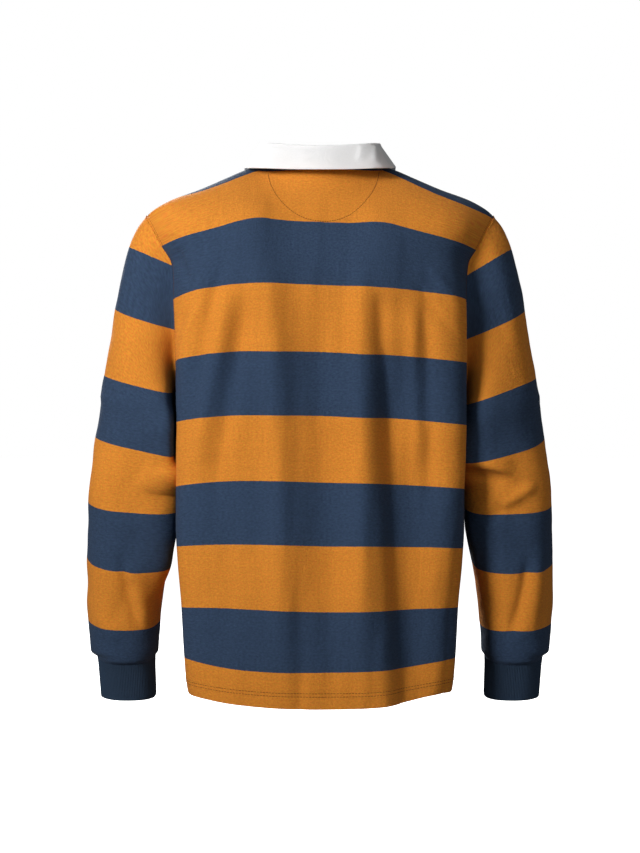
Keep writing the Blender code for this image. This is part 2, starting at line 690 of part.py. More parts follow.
def add_plackets():
    """The two facings of the front opening: the under one in the gap, the over one on top of it."""
    levels = np.linspace(PLACKET_FOOT + UNDER_SHORTER, TOP - PLACKET_BELOW_NECK, PLACKET_ROWS)
    grid, normals = strip_on_front(PLACKET_HALF_WIDTH - LAY_GAP, levels, -PLACKET_WALL / 2)
    points, faces = wall_mesh(grid, normals, PLACKET_WALL / 2, PLACKET_WALL / 2)
    add_piece("placket_under", points, faces, "white_twill")
    levels = np.linspace(PLACKET_FOOT - OVER_LONGER, TOP - PLACKET_BELOW_NECK, PLACKET_ROWS)
    offset = WALL / 2 + LAY_GAP + PLACKET_WALL / 2
    grid, normals = strip_on_front(PLACKET_HALF_WIDTH + OVER_WIDER, levels, offset)
    points, faces = wall_mesh(grid, normals, PLACKET_WALL / 2, PLACKET_WALL / 2)
    add_piece("placket_over", points, faces, "white_twill")


def add_buttons():
    offset = WALL / 2 + 2 * LAY_GAP + PLACKET_WALL
    inside = BUTTON_RADIUS - BUTTON_BEVEL - BUTTON_RIM
    for number, level in enumerate(BUTTON_LEVELS, 1):
        levels = level + np.array((-1, 0, 1)) * BUTTON_RADIUS
        grid, normals = strip_on_front(BUTTON_RADIUS, levels, offset)
        seat, axis = grid[1, 1], normals[1, 1]
        side = np.array((1.0, 0.0, 0.0))
        up = np.cross(axis, side)
        profile = (
            (BUTTON_RADIUS - BUTTON_BEVEL, 0.0),
            (BUTTON_RADIUS, BUTTON_BEVEL),
            (BUTTON_RADIUS, BUTTON_THICKNESS - BUTTON_BEVEL),
            (BUTTON_RADIUS - BUTTON_BEVEL, BUTTON_THICKNESS),
            (inside, BUTTON_THICKNESS),
            (inside - BUTTON_BEVEL, BUTTON_THICKNESS - BUTTON_BEVEL),
        )
        points = []
        for radius, height in profile:
            for i in range(BUTTON_SIDES):
                turn = 2 * math.pi * i / BUTTON_SIDES
                spoke = math.cos(turn) * side + math.sin(turn) * up
                points.append(seat + axis * height + spoke * radius)
        faces = []
        for ring in range(len(profile) - 1):
            for i in range(BUTTON_SIDES):
                after = (i + 1) % BUTTON_SIDES
                a, b = ring * BUTTON_SIDES + i, ring * BUTTON_SIDES + after
                faces += [(a, b, b + BUTTON_SIDES), (a, b + BUTTON_SIDES, a + BUTTON_SIDES)]
        last = (len(profile) - 1) * BUTTON_SIDES
        faces.append(tuple(range(BUTTON_SIDES))[::-1])
        faces.append(tuple(range(last, last + BUTTON_SIDES)))
        add_piece(f"button_{number}", points, faces, "white_rubber")


def add_neck_patch():
    """The half-moon inside the back of the neck, whose stitching shows outside."""
    across = np.linspace(-PATCH_END, PATCH_END, PATCH_COLUMNS)
    foot = PATCH_FOOT * np.sqrt(1 - across ** 2)
    levels = foot + (TOP - PATCH_BELOW_NECK - foot) * np.linspace(0, 1, PATCH_ROWS)[:, None]
    place = across * PATCH_HALF_WIDTH + PATCH_CENTRE
    grid = panel_points("back", place / side_x(levels), place, levels)
    grid[..., 1] += SEAM_GAP / 2
    grid = grid[:, ::-1]
    normals = grid_normals(grid, False)
    grid = grid - normals * (WALL / 2 + PATCH_GAP + PATCH_WALL / 2)
    points, faces = wall_mesh(grid, normals, PATCH_WALL / 2, PATCH_WALL / 2)
    add_piece("neck_patch", points, faces, "orange_jersey")


def main():
    for old in list(bpy.data.objects):
        bpy.data.objects.remove(old, do_unlink=True)
    add_panel(*BACK)
    add_panel(*FRONT)
    add_sleeve("sleeve_left", LEFT_SLEEVE_FOLDS, right=False)
    add_sleeve("sleeve_right", RIGHT_SLEEVE_FOLDS, right=True)
    add_cuff("cuff_left", right=False)
    add_cuff("cuff_right", right=True)
    add_collar()
    add_plackets()
    add_buttons()
    add_neck_patch()


main()
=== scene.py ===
# Long-sleeved polo shirt in broad hoops, in its worn shape: the looks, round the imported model
# Metres, +Z up. The front faces -Y and the wearer's left is +X
import math

import bpy
import numpy as np
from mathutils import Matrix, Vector


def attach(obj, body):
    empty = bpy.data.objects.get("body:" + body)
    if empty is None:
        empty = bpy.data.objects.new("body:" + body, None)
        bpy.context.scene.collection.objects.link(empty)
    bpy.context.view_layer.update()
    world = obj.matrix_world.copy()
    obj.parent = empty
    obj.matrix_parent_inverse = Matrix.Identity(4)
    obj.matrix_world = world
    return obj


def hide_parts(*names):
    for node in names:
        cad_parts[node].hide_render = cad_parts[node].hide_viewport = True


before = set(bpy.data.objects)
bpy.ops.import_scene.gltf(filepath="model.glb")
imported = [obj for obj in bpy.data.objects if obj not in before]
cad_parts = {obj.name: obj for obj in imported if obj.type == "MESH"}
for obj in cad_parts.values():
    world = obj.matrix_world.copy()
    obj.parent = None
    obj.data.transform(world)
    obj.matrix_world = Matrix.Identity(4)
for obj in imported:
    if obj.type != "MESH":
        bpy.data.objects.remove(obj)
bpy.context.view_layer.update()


def table(names, rows):
    return dict(zip(names.split(), np.array(rows, float).T))


# A smooth function of one column that gives another, with no overshoot between the rows
def curve(rows, key, name):
    order = np.argsort(rows[key])
    places = rows[key][order]
    values = rows[name][order]
    steps = np.diff(places)
    slopes = np.diff(values) / steps
    tangents = np.concatenate(([slopes[0]], np.zeros(len(slopes) - 1), [slopes[-1]]))
    for i in range(1, len(slopes)):
        before, after = slopes[i - 1], slopes[i]
        if before * after > 0:
            tangents[i] = 2 * before * after / (before + after)

    def value(at):
        at = np.clip(at, places[0], places[-1])
        i = np.clip(np.searchsorted(places, at, side="right") - 1, 0, len(steps) - 1)
        t = (at - places[i]) / steps[i]
        rest = 1 - t
        return (
            (1 + 2 * t) * rest ** 2 * values[i]
            + t * rest ** 2 * steps[i] * tangents[i]
            + t ** 2 * (3 - 2 * t) * values[i + 1]
            - t ** 2 * rest * steps[i] * tangents[i + 1]
        )

    return value


def ease(share):
    share = np.clip(share, 0, 1)
    return share * share * (3 - 2 * share)


def unit(vectors):
    return vectors / np.linalg.norm(vectors, axis=-1, keepdims=True)


# The form of the front and the back
body = {
    "wall": 0.0016,
    "hem": -0.7415,
    "hemTurn": 0.022,
    "hemWall": 0.0026,
    "underarm": -0.309,
    "slopeFrom": -0.200,
    "sectionPower": 4.0,
    "softening": 0.9,
    "mostSoftened": 0.035,
    "softeningSteps": 41,
    "evening": 0.30,  # of the bend below the neck's corners, in each of the passes
    "eveningPasses": 160,
    "eveningFrom": -0.008,
    "eveningTo": -0.30,
    "edgeWall": 0.02,  # least square of the wall's share at a folded edge
    "sideFade": 20,  # 1 over the share of the half width where folds fade at the side
    "topFade": 0.10,
    "sideStretch": 1.3,  # of the cloth near the side, over its width seen from behind
    "wave": 0.0007,
    "ripple": 0.0004,
    "rippleLength": 0.045,
    "hemWave": 0.0016,
    "hemWaveLength": 0.13,
    "hemWaveRise": 0.16,
    "tipX": 0.2400,
    "columnsBack": 100,  # each side of the centre
    "columnsFront": 90,
    "rowsHem": 10,
    "rowsBelow": 120,
    "rowsAbove": 80,
    "neckShare": 0.4,  # share of the columns that end on the neckline
    "clothHalf": 0.27,  # half the width of the flat cloth
}
neck = {
    "halfWidth": 0.085,
    "backDepth": 0.075,
    "frontDepth": 0.085,
    "pointDrop": 0.003,
    "backDrop": 0.013,
    "frontDrop": 0.072,
    "frontCurve": 1.15,
}
torsoRows = table("height halfWidth back front", (
    (-0.7415, 0.1772, 0.1310, 0.1290),
    (-0.7200, 0.1826, 0.1300, 0.1285),
    (-0.6790, 0.1864, 0.1270, 0.1270),
    (-0.6090, 0.1903, 0.1220, 0.1255),
    (-0.5530, 0.1957, 0.1170, 0.1245),
    (-0.5000, 0.1985, 0.1130, 0.1240),
    (-0.4000, 0.1984, 0.1090, 0.1240),
    (-0.3180, 0.1984, 0.1120, 0.1245),
    (-0.2340, 0.1992, 0.1190, 0.1245),
    (-0.1900, 0.2004, 0.1205, 0.1230),
    (-0.1650, 0.2008, 0.1200, 0.1205),
    (-0.1450, 0.2026, 0.1190, 0.1180),
    (-0.1220, 0.2156, 0.1170, 0.1140),
    (-0.1000, 0.2272, 0.1140, 0.1090),
    (-0.0738, 0.2400, 0.1100, 0.1030),
    (0.0000, 0.2400, 0.1000, 0.0900),
))
armholeRows = table("height back front", (
    (-0.3180, 0.0000, 0.0000),
    (-0.3140, 0.0110, 0.0120),
    (-0.3000, 0.0215, 0.0240),
    (-0.2750, 0.0330, 0.0370),
    (-0.2340, 0.0450, 0.0520),
    (-0.1900, 0.0520, 0.0590),
    (-0.1450, 0.0540, 0.0600),
    (-0.1100, 0.0520, 0.0570),
    (-0.0738, 0.0450, 0.0490),
    (0.0000, 0.0450, 0.0490),
))
shoulderRows = table("across height", (
    (0.0850, -0.0030),
    (0.1060, -0.0106),
    (0.1354, -0.0240),
    (0.1675, -0.0385),
    (0.2050, -0.0525),
    (0.2300, -0.0660),
    (0.2400, -0.0738),
))
crestRows = table("across backReach frontReach backPower frontPower", (
    (0.0000, 0.160, 0.160, 0.95, 0.95),
    (0.0600, 0.150, 0.170, 0.90, 0.95),
    (0.0850, 0.125, 0.180, 0.72, 0.92),
    (0.1200, 0.100, 0.135, 0.60, 0.72),
    (0.1800, 0.070, 0.080, 0.50, 0.54),
    (0.2400, 0.045, 0.045, 0.50, 0.50),
))
hangRows = table("level droop rise", (
    (-0.7415, -0.014, 0.010),
    (-0.693, -0.008, 0.008),
    (-0.613, 0.000, 0.005),
    (-0.525, 0.006, 0.002),
    (-0.440, 0.009, 0.000),
    (-0.180, 0.009, 0.000),
    (-0.095, 0.011, 0.000),
    (0.000, 0.000, 0.000),
))
facing = {"back": 1.0, "front": -1.0}
halfWidth = curve(torsoRows, "height", "halfWidth")
fullDepth = {side: curve(torsoRows, "height", side) for side in facing}
armholeDepth = {side: curve(armholeRows, "height", side) for side in facing}
crestReach = {side: curve(crestRows, "across", side + "Reach") for side in facing}
crestPower = {side: curve(crestRows, "across", side + "Power") for side in facing}
shoulderHeight = curve(shoulderRows, "across", "height")
droop = curve(hangRows, "level", "droop")
frontRise = curve(hangRows, "level", "rise")


def slopeShare(level):
    return np.clip(1 - level / body["slopeFrom"], 0, 1) ** 2


def sideHeight(level):
    return level - droop(level) + shoulderHeight(body["tipX"]) * slopeShare(level)


def sideX(level):
    return halfWidth(sideHeight(level))


# Depth and height of a panel's top edge: the neckline, then the shoulder seam
def topEdge(side, across):
    opening = np.sqrt(1 - np.clip(np.abs(across) / neck["halfWidth"], 0, 1) ** 2)
    depth = neck[side + "Depth"] * opening
    power = neck["frontCurve"] if side == "front" else 1
    drop = neck[side + "Drop"] * opening ** power
    onNeck = np.abs(across) < neck["halfWidth"]
    return depth, np.where(onNeck, -neck["pointDrop"] - drop, shoulderHeight(np.abs(across)))


# The top edge as the cloth below it feels it: its corners even out with the distance
def softTopEdge(side, across, level):
    reach = np.minimum(-level * body["softening"], body["mostSoftened"])
    reach = reach * (1 - np.abs(across) / body["tipX"])
    places = np.linspace(-1, 1, body["softeningSteps"])
    weights = 1 - places ** 2
    depth, height = 0, 0
    for place, weight in zip(places, weights / weights.sum()):
        edge = topEdge(side, across + reach * place)
        depth, height = depth + weight * edge[0], height + weight * edge[1]
    return depth, height


# Middle of a panel's cloth, from the share of the half width, the x of the column's top and the level
def panelPoints(side, share, crestX, level):
    share, crestX, level = np.broadcast_arrays(share, crestX, level)
    topDepth, topHeight = softTopEdge(side, crestX, level)
    z = level - droop(level) * share ** 2 + topHeight * slopeShare(level)
    if side == "front":
        z = z + frontRise(level) * (1 - share ** 2)
    power = body["sectionPower"]
    full, edge = fullDepth[side](z), armholeDepth[side](z)
    cut = (1 - (edge / full) ** power) ** (1 / power)
    section = full * np.clip(1 - np.abs(share * cut) ** power, 0, 1) ** (1 / power)
    fallen = np.clip((topHeight - z) / crestReach[side](np.abs(crestX)), 0, 1)
    rounding = (1 - (1 - fallen) ** 2) ** crestPower[side](np.abs(crestX))
    depth = topDepth + (section - topDepth) * rounding
    return np.stack((share * sideX(level), facing[side] * depth, z), axis=-1)


# Cloth: folds, waves and walls, and the marks that the materials read
fold = {
    "pathPoints": 41,
    "reach": 3.0,  # in half widths
    "fade": 3.5,  # 1 over the share of its length that fades at each end
    "past": 0.6,  # how far its nearest place may lie from a point of the path, in steps
}
sharpAngle = 55.0


def foldRelief(rows, across, up):
    t = np.linspace(0, 1, fold["pathPoints"])
    relief = np.zeros(across.shape)
    for *places, width, depth, lean in zip(*rows.values()):
        a, b, c = np.reshape(places, (3, 2))
        control = 2 * b - (a + c) / 2
        path = np.outer((1 - t) ** 2, a) + np.outer(2 * t * (1 - t), control) + np.outer(t ** 2, c)
        reach = fold["reach"] * width
        near = (across > path[:, 0].min() - reach) & (across < path[:, 0].max() + reach)
        near &= (up > path[:, 1].min() - reach) & (up < path[:, 1].max() + reach)
        if not near.any():
            continue
        off = np.stack((across[near], up[near]), axis=-1)[:, None] - path
        nearest = (off ** 2).sum(axis=-1).argmin(axis=1)
        off = off[np.arange(len(nearest)), nearest]
        tangent = np.gradient(path, axis=0)[nearest]
        step = (off * tangent).sum(axis=-1) / (tangent ** 2).sum(axis=-1)
        step = np.clip(step, -fold["past"], fold["past"])
        off = off - tangent * step[:, None]
        along = t[nearest] + step * t[1]
        side = np.sign(tangent[:, 0] * off[:, 1] - tangent[:, 1] * off[:, 0])
        # A fold that leans is steep on one side and soft on the other
        spread = width * (1 + lean * side)
        fading = ease(fold["fade"] * along) * ease(fold["fade"] * (1 - along))
        relief[near] += depth * fading * np.exp(-((off ** 2).sum(axis=-1) / spread ** 2))
    return relief


# Cloth that isn't quite even: long soft waves in several directions
def softWaves(across, up, seed, amount, longest=0.11, shortest=0.25, count=9, upright=0.6):
    draws = np.random.default_rng(seed)
    relief = np.zeros(np.broadcast(across, up).shape)
    for _ in range(count):
        length = longest * draws.uniform(shortest, 1.0)
        turn = draws.normal(0, upright)
        phase = draws.uniform(0, 2 * math.pi)
        line = across * math.cos(turn) + up * math.sin(turn)
        relief += np.sin(2 * math.pi * line / length + phase) * (length / longest)
    return relief * amount / math.sqrt(count)


def gridNormals(grid, wraps):
    if wraps:
        across = np.roll(grid, -1, axis=1) - np.roll(grid, 1, axis=1)
    else:
        across = np.gradient(grid, axis=1)
    return unit(np.cross(across, np.gradient(grid, axis=0)))


# A closed wall of cloth round a grid of points, with its hoop count and its cloth coordinates
def wallPiece(name, grid, normals, outer, inner, material, cloth, hoop=None, wraps=False, keep=None):
    rows, columns = grid.shape[:2]
    outer = np.broadcast_to(np.reshape(outer, (-1, 1, 1)), (rows, columns, 1))
    inner = np.broadcast_to(np.reshape(inner, (-1, 1, 1)), (rows, columns, 1))
    points = np.concatenate((grid + normals * outer, grid - normals * inner)).reshape(-1, 3)
    under = rows * columns
    index = np.arange(under).reshape(rows, columns)
    if wraps:
        index = np.concatenate((index, index[:, :1]), axis=1)

    def corners(values):
        return np.stack((values[:-1, :-1], values[:-1, 1:], values[1:, 1:], values[1:, :-1]), axis=2)

    quads, places = corners(index), corners(cloth)
    chosen = np.ones(quads.shape[:2], bool) if keep is None else keep
    quads, places = quads[chosen], places[chosen]
    edges = np.stack((quads, np.roll(quads, -1, axis=1)), axis=2).reshape(-1, 2)
    codes = edges[:, 0] * under + edges[:, 1]
    rim = edges[~np.isin(edges[:, 1] * under + edges[:, 0], codes)]
    rimQuads = np.stack((rim[:, 0], rim[:, 0] + under, rim[:, 1] + under, rim[:, 1]), axis=1)
    flat = cloth[:, :columns].reshape(-1, 2)
    rimPlaces = np.stack((flat[rim[:, 0]], flat[rim[:, 0]], flat[rim[:, 1]], flat[rim[:, 1]]), axis=1)
    faces = np.concatenate((quads, quads[:, ::-1] + under, rimQuads))
    uvs = np.concatenate((places, places[:, ::-1], rimPlaces)).reshape(-1, 2)
    used, faces = np.unique(faces, return_inverse=True)
    faces = faces.reshape(-1, 4)
    mesh = bpy.data.meshes.new(name)
    mesh.from_pydata(points[used].tolist(), [], faces.tolist())
    mesh.uv_layers.new(name="cloth").data.foreach_set("uv", uvs.astype(np.float32).ravel())
    if hoop is not None:
        marks = mesh.attributes.new("hoop", "FLOAT", "POINT")
        both = np.concatenate((hoop.ravel(), hoop.ravel()))[used]
        marks.data.foreach_set("value", both.astype(np.float32))
    return dressed(name, mesh, material)


def inScene(name, data):
    thing = bpy.data.objects.new(name, data)
    bpy.context.scene.collection.objects.link(thing)
    return thing


def dressed(name, mesh, material):
    mesh.update()
    mesh.shade_smooth()
    mesh.set_sharp_from_angle(angle=math.radians(sharpAngle))
    mesh.materials.append(material)
    piece = inScene(name, mesh)
    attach(piece, "root")
    return piece


def stands(node):
    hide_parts(node)


# A piece of the wearer's right side, from the left one
def mirrored(grid, normals, *marks):
    across = np.array((-1.0, 1.0, 1.0))
    return [part[:, ::-1] for part in (grid * across, normals * across, *marks)]


# Faces of a solid made of rings of points, with its two ends
def ringFaces(first, rings, sides):
    faces = []
    for ring in range(rings - 1):
        for i in range(sides):
            a, b = first + ring * sides + i, first + ring * sides + (i + 1) % sides
            faces.append((a, a + sides, b + sides, b))
    last = first + (rings - 1) * sides
    return faces + [tuple(range(first, first + sides)), tuple(range(last, last + sides))[::-1]]


def clothPlaces(across, up):
    return np.stack(np.broadcast_arrays(across, up), axis=-1)


# Materials, all procedural
dyes = {
    "orange": (0.590, 0.206, 0.024),
    "navy": (0.0270, 0.0480, 0.0910),
    "cuffNavy": (0.0210, 0.0375, 0.0660),
    "white": (0.82, 0.83, 0.835),
    "rubber": (0.80, 0.79, 0.76),
    # Dark brown thread: partly its own colour, partly painted shade that stands for the puckers beside the
    # hem, armhole and half-moon seams
    "brownThreadAndSeamShade": (0.10, 0.032, 0.006),
    "navyThread": (0.030, 0.046, 0.078),
    "whiteThread": (0.84, 0.84, 0.84),
}
jersey = {
    "wale": 0.0011,  # width of a column of knit stitches
    "course": 0.0008,  # height of a row
    "loopSlant": 2.4,
    "knitDepth": 0.00018,
    "unevenDepth": 0.0010,
    "unevenScale": 280,
    "roughness": 0.88,
    "sheen": 0.02,
    "mottle": 0.62,
    "navyMottle": 0.40,  # more of it in the navy
    "mottleScale": 420,
    "slub": 0.14,  # thick places of the yarn, in streaks both ways
    "slubScale": 200,
    "broad": 0.10,
    "broadScale": 9,
    "hue": 0.07,
    "hueScale": 500,
    "ragged": 0.005,  # how far a hoop's edge wanders, in hoops
    "raggedScale": 900,
}
rib = {"mottle": 0.45, "mottleScale": 420, "knitDepth": 0.00012, "roughness": 0.9}
twill = {
    "line": 0.0010,  # width of one of its slanting lines
    "lineDepth": 0.00010,
    "unevenDepth": 0.0008,
    "unevenScale": 90,
    "mottle": 0.07,
    "mottleScale": 300,
    "roughness": 0.8,
    "glow": 0.45,  # light that passes a little way through the white cotton
    "glowDepth": 0.012,
}
# Scale, amount and detail of the mottle, scale and detail of the grain, and its depth and strength
thread = {"mottle": (2500, 0.3, 1.0), "grain": (4000, 1.0), "relief": (0.0001, 0.5), "roughness": 0.6}
moulded = {"mottle": (220, 0.05, 2.0), "grain": (1800, 2.0), "relief": (0.00005, 0.4), "roughness": 0.42}
surface = {"sheenRoughness": 0.5, "shine": 0.12}
white = (1.0, 1.0, 1.0, 1.0)


class Nodes:
    # A few short ways to write a material's nodes
    def __init__(self, name):
        self.material = bpy.data.materials.new(name)
        self.material.use_nodes = True
        self.tree = self.material.node_tree
        self.shader = self.tree.nodes["Principled BSDF"]

    def add(self, kind, **settings):
        node = self.tree.nodes.new("ShaderNode" + kind)
        for key, value in settings.items():
            setattr(node, key, value)
        return node

    def feed(self, value, socket):
        if isinstance(value, bpy.types.NodeSocket):
            self.tree.links.new(value, socket)
        else:
            socket.default_value = value

    # The flat cloth's coordinates, and each of the two by itself
    def clothPlace(self):
        uv = self.add("UVMap", uv_map="cloth").outputs[0]
        split = self.add("SeparateXYZ")
        self.feed(uv, split.inputs[0])
        return uv, split.outputs[0], split.outputs[1]

    def math(self, operation, *values):
        node = self.add("Math", operation=operation)
        for value, socket in zip(values, node.inputs):
            self.feed(value, socket)
        return node.outputs[0]

    def mix(self, share, first, second):
        node = self.add("Mix", data_type="RGBA")
        for value, socket in zip((share, first, second), (node.inputs[0], node.inputs[6], node.inputs[7])):
            self.feed(value, socket)
        return node.outputs[2]

    def noise(self, place, scale, detail=2.0, stretch=(1.0, 1.0, 1.0)):
        mapping = self.add("Mapping")
        self.feed(place, mapping.inputs["Vector"])
        mapping.inputs["Scale"].default_value = stretch
        node = self.add("TexNoise")
        self.feed(mapping.outputs[0], node.inputs["Vector"])
        node.inputs["Scale"].default_value = scale
        node.inputs["Detail"].default_value = detail
        return node.outputs["Fac"]

    # A value that swings round nought by a noise
    def swing(self, place, scale, amount, detail=3.0, stretch=(1.0, 1.0, 1.0)):
        noise = self.noise(place, scale, detail, stretch)
        return self.math("MULTIPLY", self.math("SUBTRACT", noise, 0.5), amount)

    def brighten(self, colour, amount, hue=0.5):
        node = self.add("HueSaturation")
        self.feed(colour, node.inputs["Color"])
        self.feed(amount, node.inputs["Value"])
        self.feed(hue, node.inputs["Hue"])
        return node.outputs[0]

    def bump(self, height, distance, strength=1.0, under=None):
        node = self.add("Bump")
        self.feed(height, node.inputs["Height"])
        node.inputs["Distance"].default_value = distance
        node.inputs["Strength"].default_value = strength
        if under is not None:
            self.feed(under, node.inputs["Normal"])
        return node.outputs[0]

    def finish(self, colour, normal, roughness, sheen=0.0):
        self.feed(colour, self.shader.inputs["Base Color"])
        self.feed(normal, self.shader.inputs["Normal"])
        self.shader.inputs["Roughness"].default_value = roughness
        self.shader.inputs["Sheen Weight"].default_value = sheen
        self.shader.inputs["Sheen Roughness"].default_value = surface["sheenRoughness"]
        self.shader.inputs["Specular IOR Level"].default_value = surface["shine"]
        return self.material


def colour4(name):
    return (*dyes[name], 1.0)


# Height of a knit face: each wale is two rows of slanting loops
def knitHeight(nodes):
    uv, across, up = nodes.clothPlace()
    column = nodes.math("MULTIPLY", across, 2 * math.pi / jersey["wale"])
    half = nodes.math("SINE", nodes.math("MULTIPLY", column, 0.5))
    slant = nodes.math("MULTIPLY", nodes.math("ABSOLUTE", half), jersey["loopSlant"])
    row = nodes.math("ADD", nodes.math("MULTIPLY", up, 2 * math.pi / jersey["course"]), slant)
    ridge = nodes.math("MULTIPLY", nodes.math("COSINE", column), 0.5)
    loops = nodes.math("MULTIPLY", nodes.math("SINE", row), 0.5)
    return nodes.math("ADD", ridge, loops), uv


def makeJersey():
    nodes = Nodes("hooped_jersey")
    knit, uv = knitHeight(nodes)
    hoop = nodes.add("Attribute", attribute_name="hoop").outputs["Fac"]
    place = nodes.add("TexCoord").outputs["Object"]
    ragged = nodes.swing(uv, jersey["raggedScale"], jersey["ragged"], 1.0)
    count = nodes.math("MULTIPLY", nodes.math("ADD", hoop, ragged), 0.5)
    navy = nodes.math("GREATER_THAN", nodes.math("FRACT", count), 0.5)
    colour = nodes.mix(navy, colour4("orange"), colour4("navy"))
    depth = nodes.math("ADD", nodes.math("MULTIPLY", navy, jersey["navyMottle"]), jersey["mottle"])
    fine = nodes.swing(uv, jersey["mottleScale"], depth, 4.0, (0.45, 1.0, 1.0))
    slub, rows = (
        nodes.swing(uv, jersey["slubScale"], jersey["slub"], 2.0, stretch)
        for stretch in ((1.0, 0.10, 1.0), (0.06, 1.0, 1.0)))
    broad = nodes.swing(place, jersey["broadScale"], jersey["broad"], 2.0)
    uneven = nodes.math("ADD", nodes.math("ADD", broad, rows), 1.0)
    value = nodes.math("ADD", nodes.math("ADD", fine, slub), uneven)
    hue = nodes.math("ADD", nodes.swing(uv, jersey["hueScale"], jersey["hue"], 2.0), 0.5)
    low = nodes.bump(nodes.noise(uv, jersey["unevenScale"], 3.0), jersey["unevenDepth"], 0.7)
    normal = nodes.bump(knit, jersey["knitDepth"], 0.8, low)
    return nodes.finish(nodes.brighten(colour, value, hue), normal, jersey["roughness"], jersey["sheen"])


def makeRib():
    nodes = Nodes("navy_rib_knit")
    knit, uv = knitHeight(nodes)
    value = nodes.math("ADD", nodes.swing(uv, rib["mottleScale"], rib["mottle"]), 1.0)
    normal = nodes.bump(knit, rib["knitDepth"], 0.7)
    return nodes.finish(nodes.brighten(colour4("cuffNavy"), value), normal, rib["roughness"], jersey["sheen"])


def makeTwill():
    nodes = Nodes("white_twill_cloth")
    uv, across, up = nodes.clothPlace()
    slope = nodes.math("ADD", across, up)
    lines = nodes.math("SINE", nodes.math("MULTIPLY", slope, 2 * math.pi / twill["line"]))
    value = nodes.math("ADD", nodes.swing(uv, twill["mottleScale"], twill["mottle"]), 1.0)
    uneven = nodes.noise(uv, twill["unevenScale"], 3.0, stretch=(1.0, 0.4, 1.0))
    low = nodes.bump(uneven, twill["unevenDepth"], 0.30)
    normal = nodes.bump(lines, twill["lineDepth"], 0.6, low)
    nodes.shader.inputs["Subsurface Weight"].default_value = twill["glow"]
    nodes.shader.inputs["Subsurface Scale"].default_value = twill["glowDepth"]
    nodes.shader.inputs["Subsurface Radius"].default_value = white[:3]
    return nodes.finish(nodes.brighten(colour4("white"), value), normal, twill["roughness"])


# Thread, and the rubber of the buttons
def makeGrained(name, dye, grained):
    nodes = Nodes(name)
    place = nodes.add("TexCoord").outputs["Object"]
    value = nodes.math("ADD", nodes.swing(place, *grained["mottle"]), 1.0)
    normal = nodes.bump(nodes.noise(place, *grained["grain"]), *grained["relief"])
    return nodes.finish(nodes.brighten(colour4(dye), value), normal, grained["roughness"])


jerseyCloth = makeJersey()
ribCloth = makeRib()
twillCloth = makeTwill()
rubber = makeGrained("white_rubber_button", "rubber", moulded)
# The brown thread's dark colour also paints the shade of the seam puckers along the hem, armholes and half
# moon
brownThreadAndSeamShade = makeGrained("brown_thread_and_seam_shade", "brownThreadAndSeamShade", thread)
navyThread = makeGrained("navy_thread", "navyThread", thread)
whiteThread = makeGrained("white_thread", "whiteThread", thread)
print("materials made")


stitch = {"length": 0.0030, "gap": 0.0007, "radius": 0.00032, "sides": 6}
# Rings of one stitch: share of its length, size and lift in radii
stitchRings = ((0.0, 0.35, -0.3), (0.12, 0.9, 0.35), (0.5, 1.0, 0.55), (0.88, 0.9, 0.35), (1.0, 0.35, -0.3))


def alongPath(values, run, at):
    return np.array([np.interp(at, run, values[:, i]) for i in range(3)])


# Length run so far at each point of a path
def runAlong(path):
    return np.concatenate(([0], np.cumsum(np.linalg.norm(np.diff(path, axis=0), axis=1))))


# The same at each row of a grid, on average over its columns
def upTheGrid(grid):
    return np.concatenate(([0], np.cumsum(np.linalg.norm(np.diff(grid, axis=0), axis=-1).mean(axis=1))))


# Row, with a part of one, at a value that rises along the rows
def rowAt(rising, value):
    return np.interp(value, rising, np.arange(len(rising)))


# Raised stitches in one mesh along paths that lie on the cloth
def sew(name, paths, material, length=None, radius=None):
    length = length or stitch["length"]
    radius = radius or stitch["radius"]
    sides = stitch["sides"]
    turns = np.arange(sides) * 2 * math.pi / sides
    points, faces = [], []
    for path, normals in paths:
        run = runAlong(path)
        pitch = length + stitch["gap"]
        for number in range(int(run[-1] / pitch)):
            begin = number * pitch
            ends = [alongPath(path, run, at) for at in (begin, begin + length)]
            out = unit(alongPath(normals, run, begin))
            along = unit(ends[1] - ends[0])
            side = unit(np.cross(along, out))
            first = len(points)
            for share, size, lift in stitchRings:
                middle = ends[0] + (ends[1] - ends[0]) * share + out * lift * radius
                for turn in turns:
                    points.append(middle + (side * math.cos(turn) + out * math.sin(turn)) * radius * size)
            faces += ringFaces(first, len(stitchRings), sides)
    mesh = bpy.data.meshes.new(name)
    mesh.from_pydata([tuple(point) for point in points], [], faces)
    piece = dressed(name, mesh, material)
    return piece


# A path on a grid of cloth: rows and columns may lie between its lines, and either may be one number
def onGrid(grid, normals, rows, columns, lift):
    rows, columns = np.broadcast_arrays(np.asarray(rows, float), np.asarray(columns, float))
    r = np.clip(rows.astype(int), 0, grid.shape[0] - 2)
    c = np.clip(columns.astype(int), 0, grid.shape[1] - 2)
    a, b = (rows - r)[:, None], (columns - c)[:, None]

    def between(values):
        low = values[r, c] * (1 - b) + values[r, c + 1] * b
        high = values[r + 1, c] * (1 - b) + values[r + 1, c + 1] * b
        return low * (1 - a) + high * a

    out = unit(between(normals))
    return between(grid) + out * lift, out


# Level of each colour change on the body, at five shares of the half width from right to left
bodyHoops = table("right midRight centre midLeft left", (
    (0.0800, 0.0800, 0.0800, 0.0800, 0.0800),
    (-0.0150, -0.0165, -0.0040, -0.0145, 0.0280),
    (-0.0942, -0.0941, -0.0891, -0.0882, -0.0859),
    (-0.1884, -0.1813, -0.1788, -0.1752, -0.1840),
    (-0.2731, -0.2701, -0.2680, -0.2645, -0.2692),
    (-0.3574, -0.3547, -0.3532, -0.3498, -0.3524),
    (-0.4439, -0.4419, -0.4417, -0.4374, -0.4406),
    (-0.5273, -0.5258, -0.5265, -0.5229, -0.5244),
    (-0.6135, -0.6121, -0.6135, -0.6100, -0.6119),
    (-0.6888, -0.6922, -0.6931, -0.6932, -0.6842),
    (-0.7800, -0.7800, -0.7800, -0.7800, -0.7800),
))
hoopShares = (-1.0, -0.5, 0.0, 0.5, 1.0)
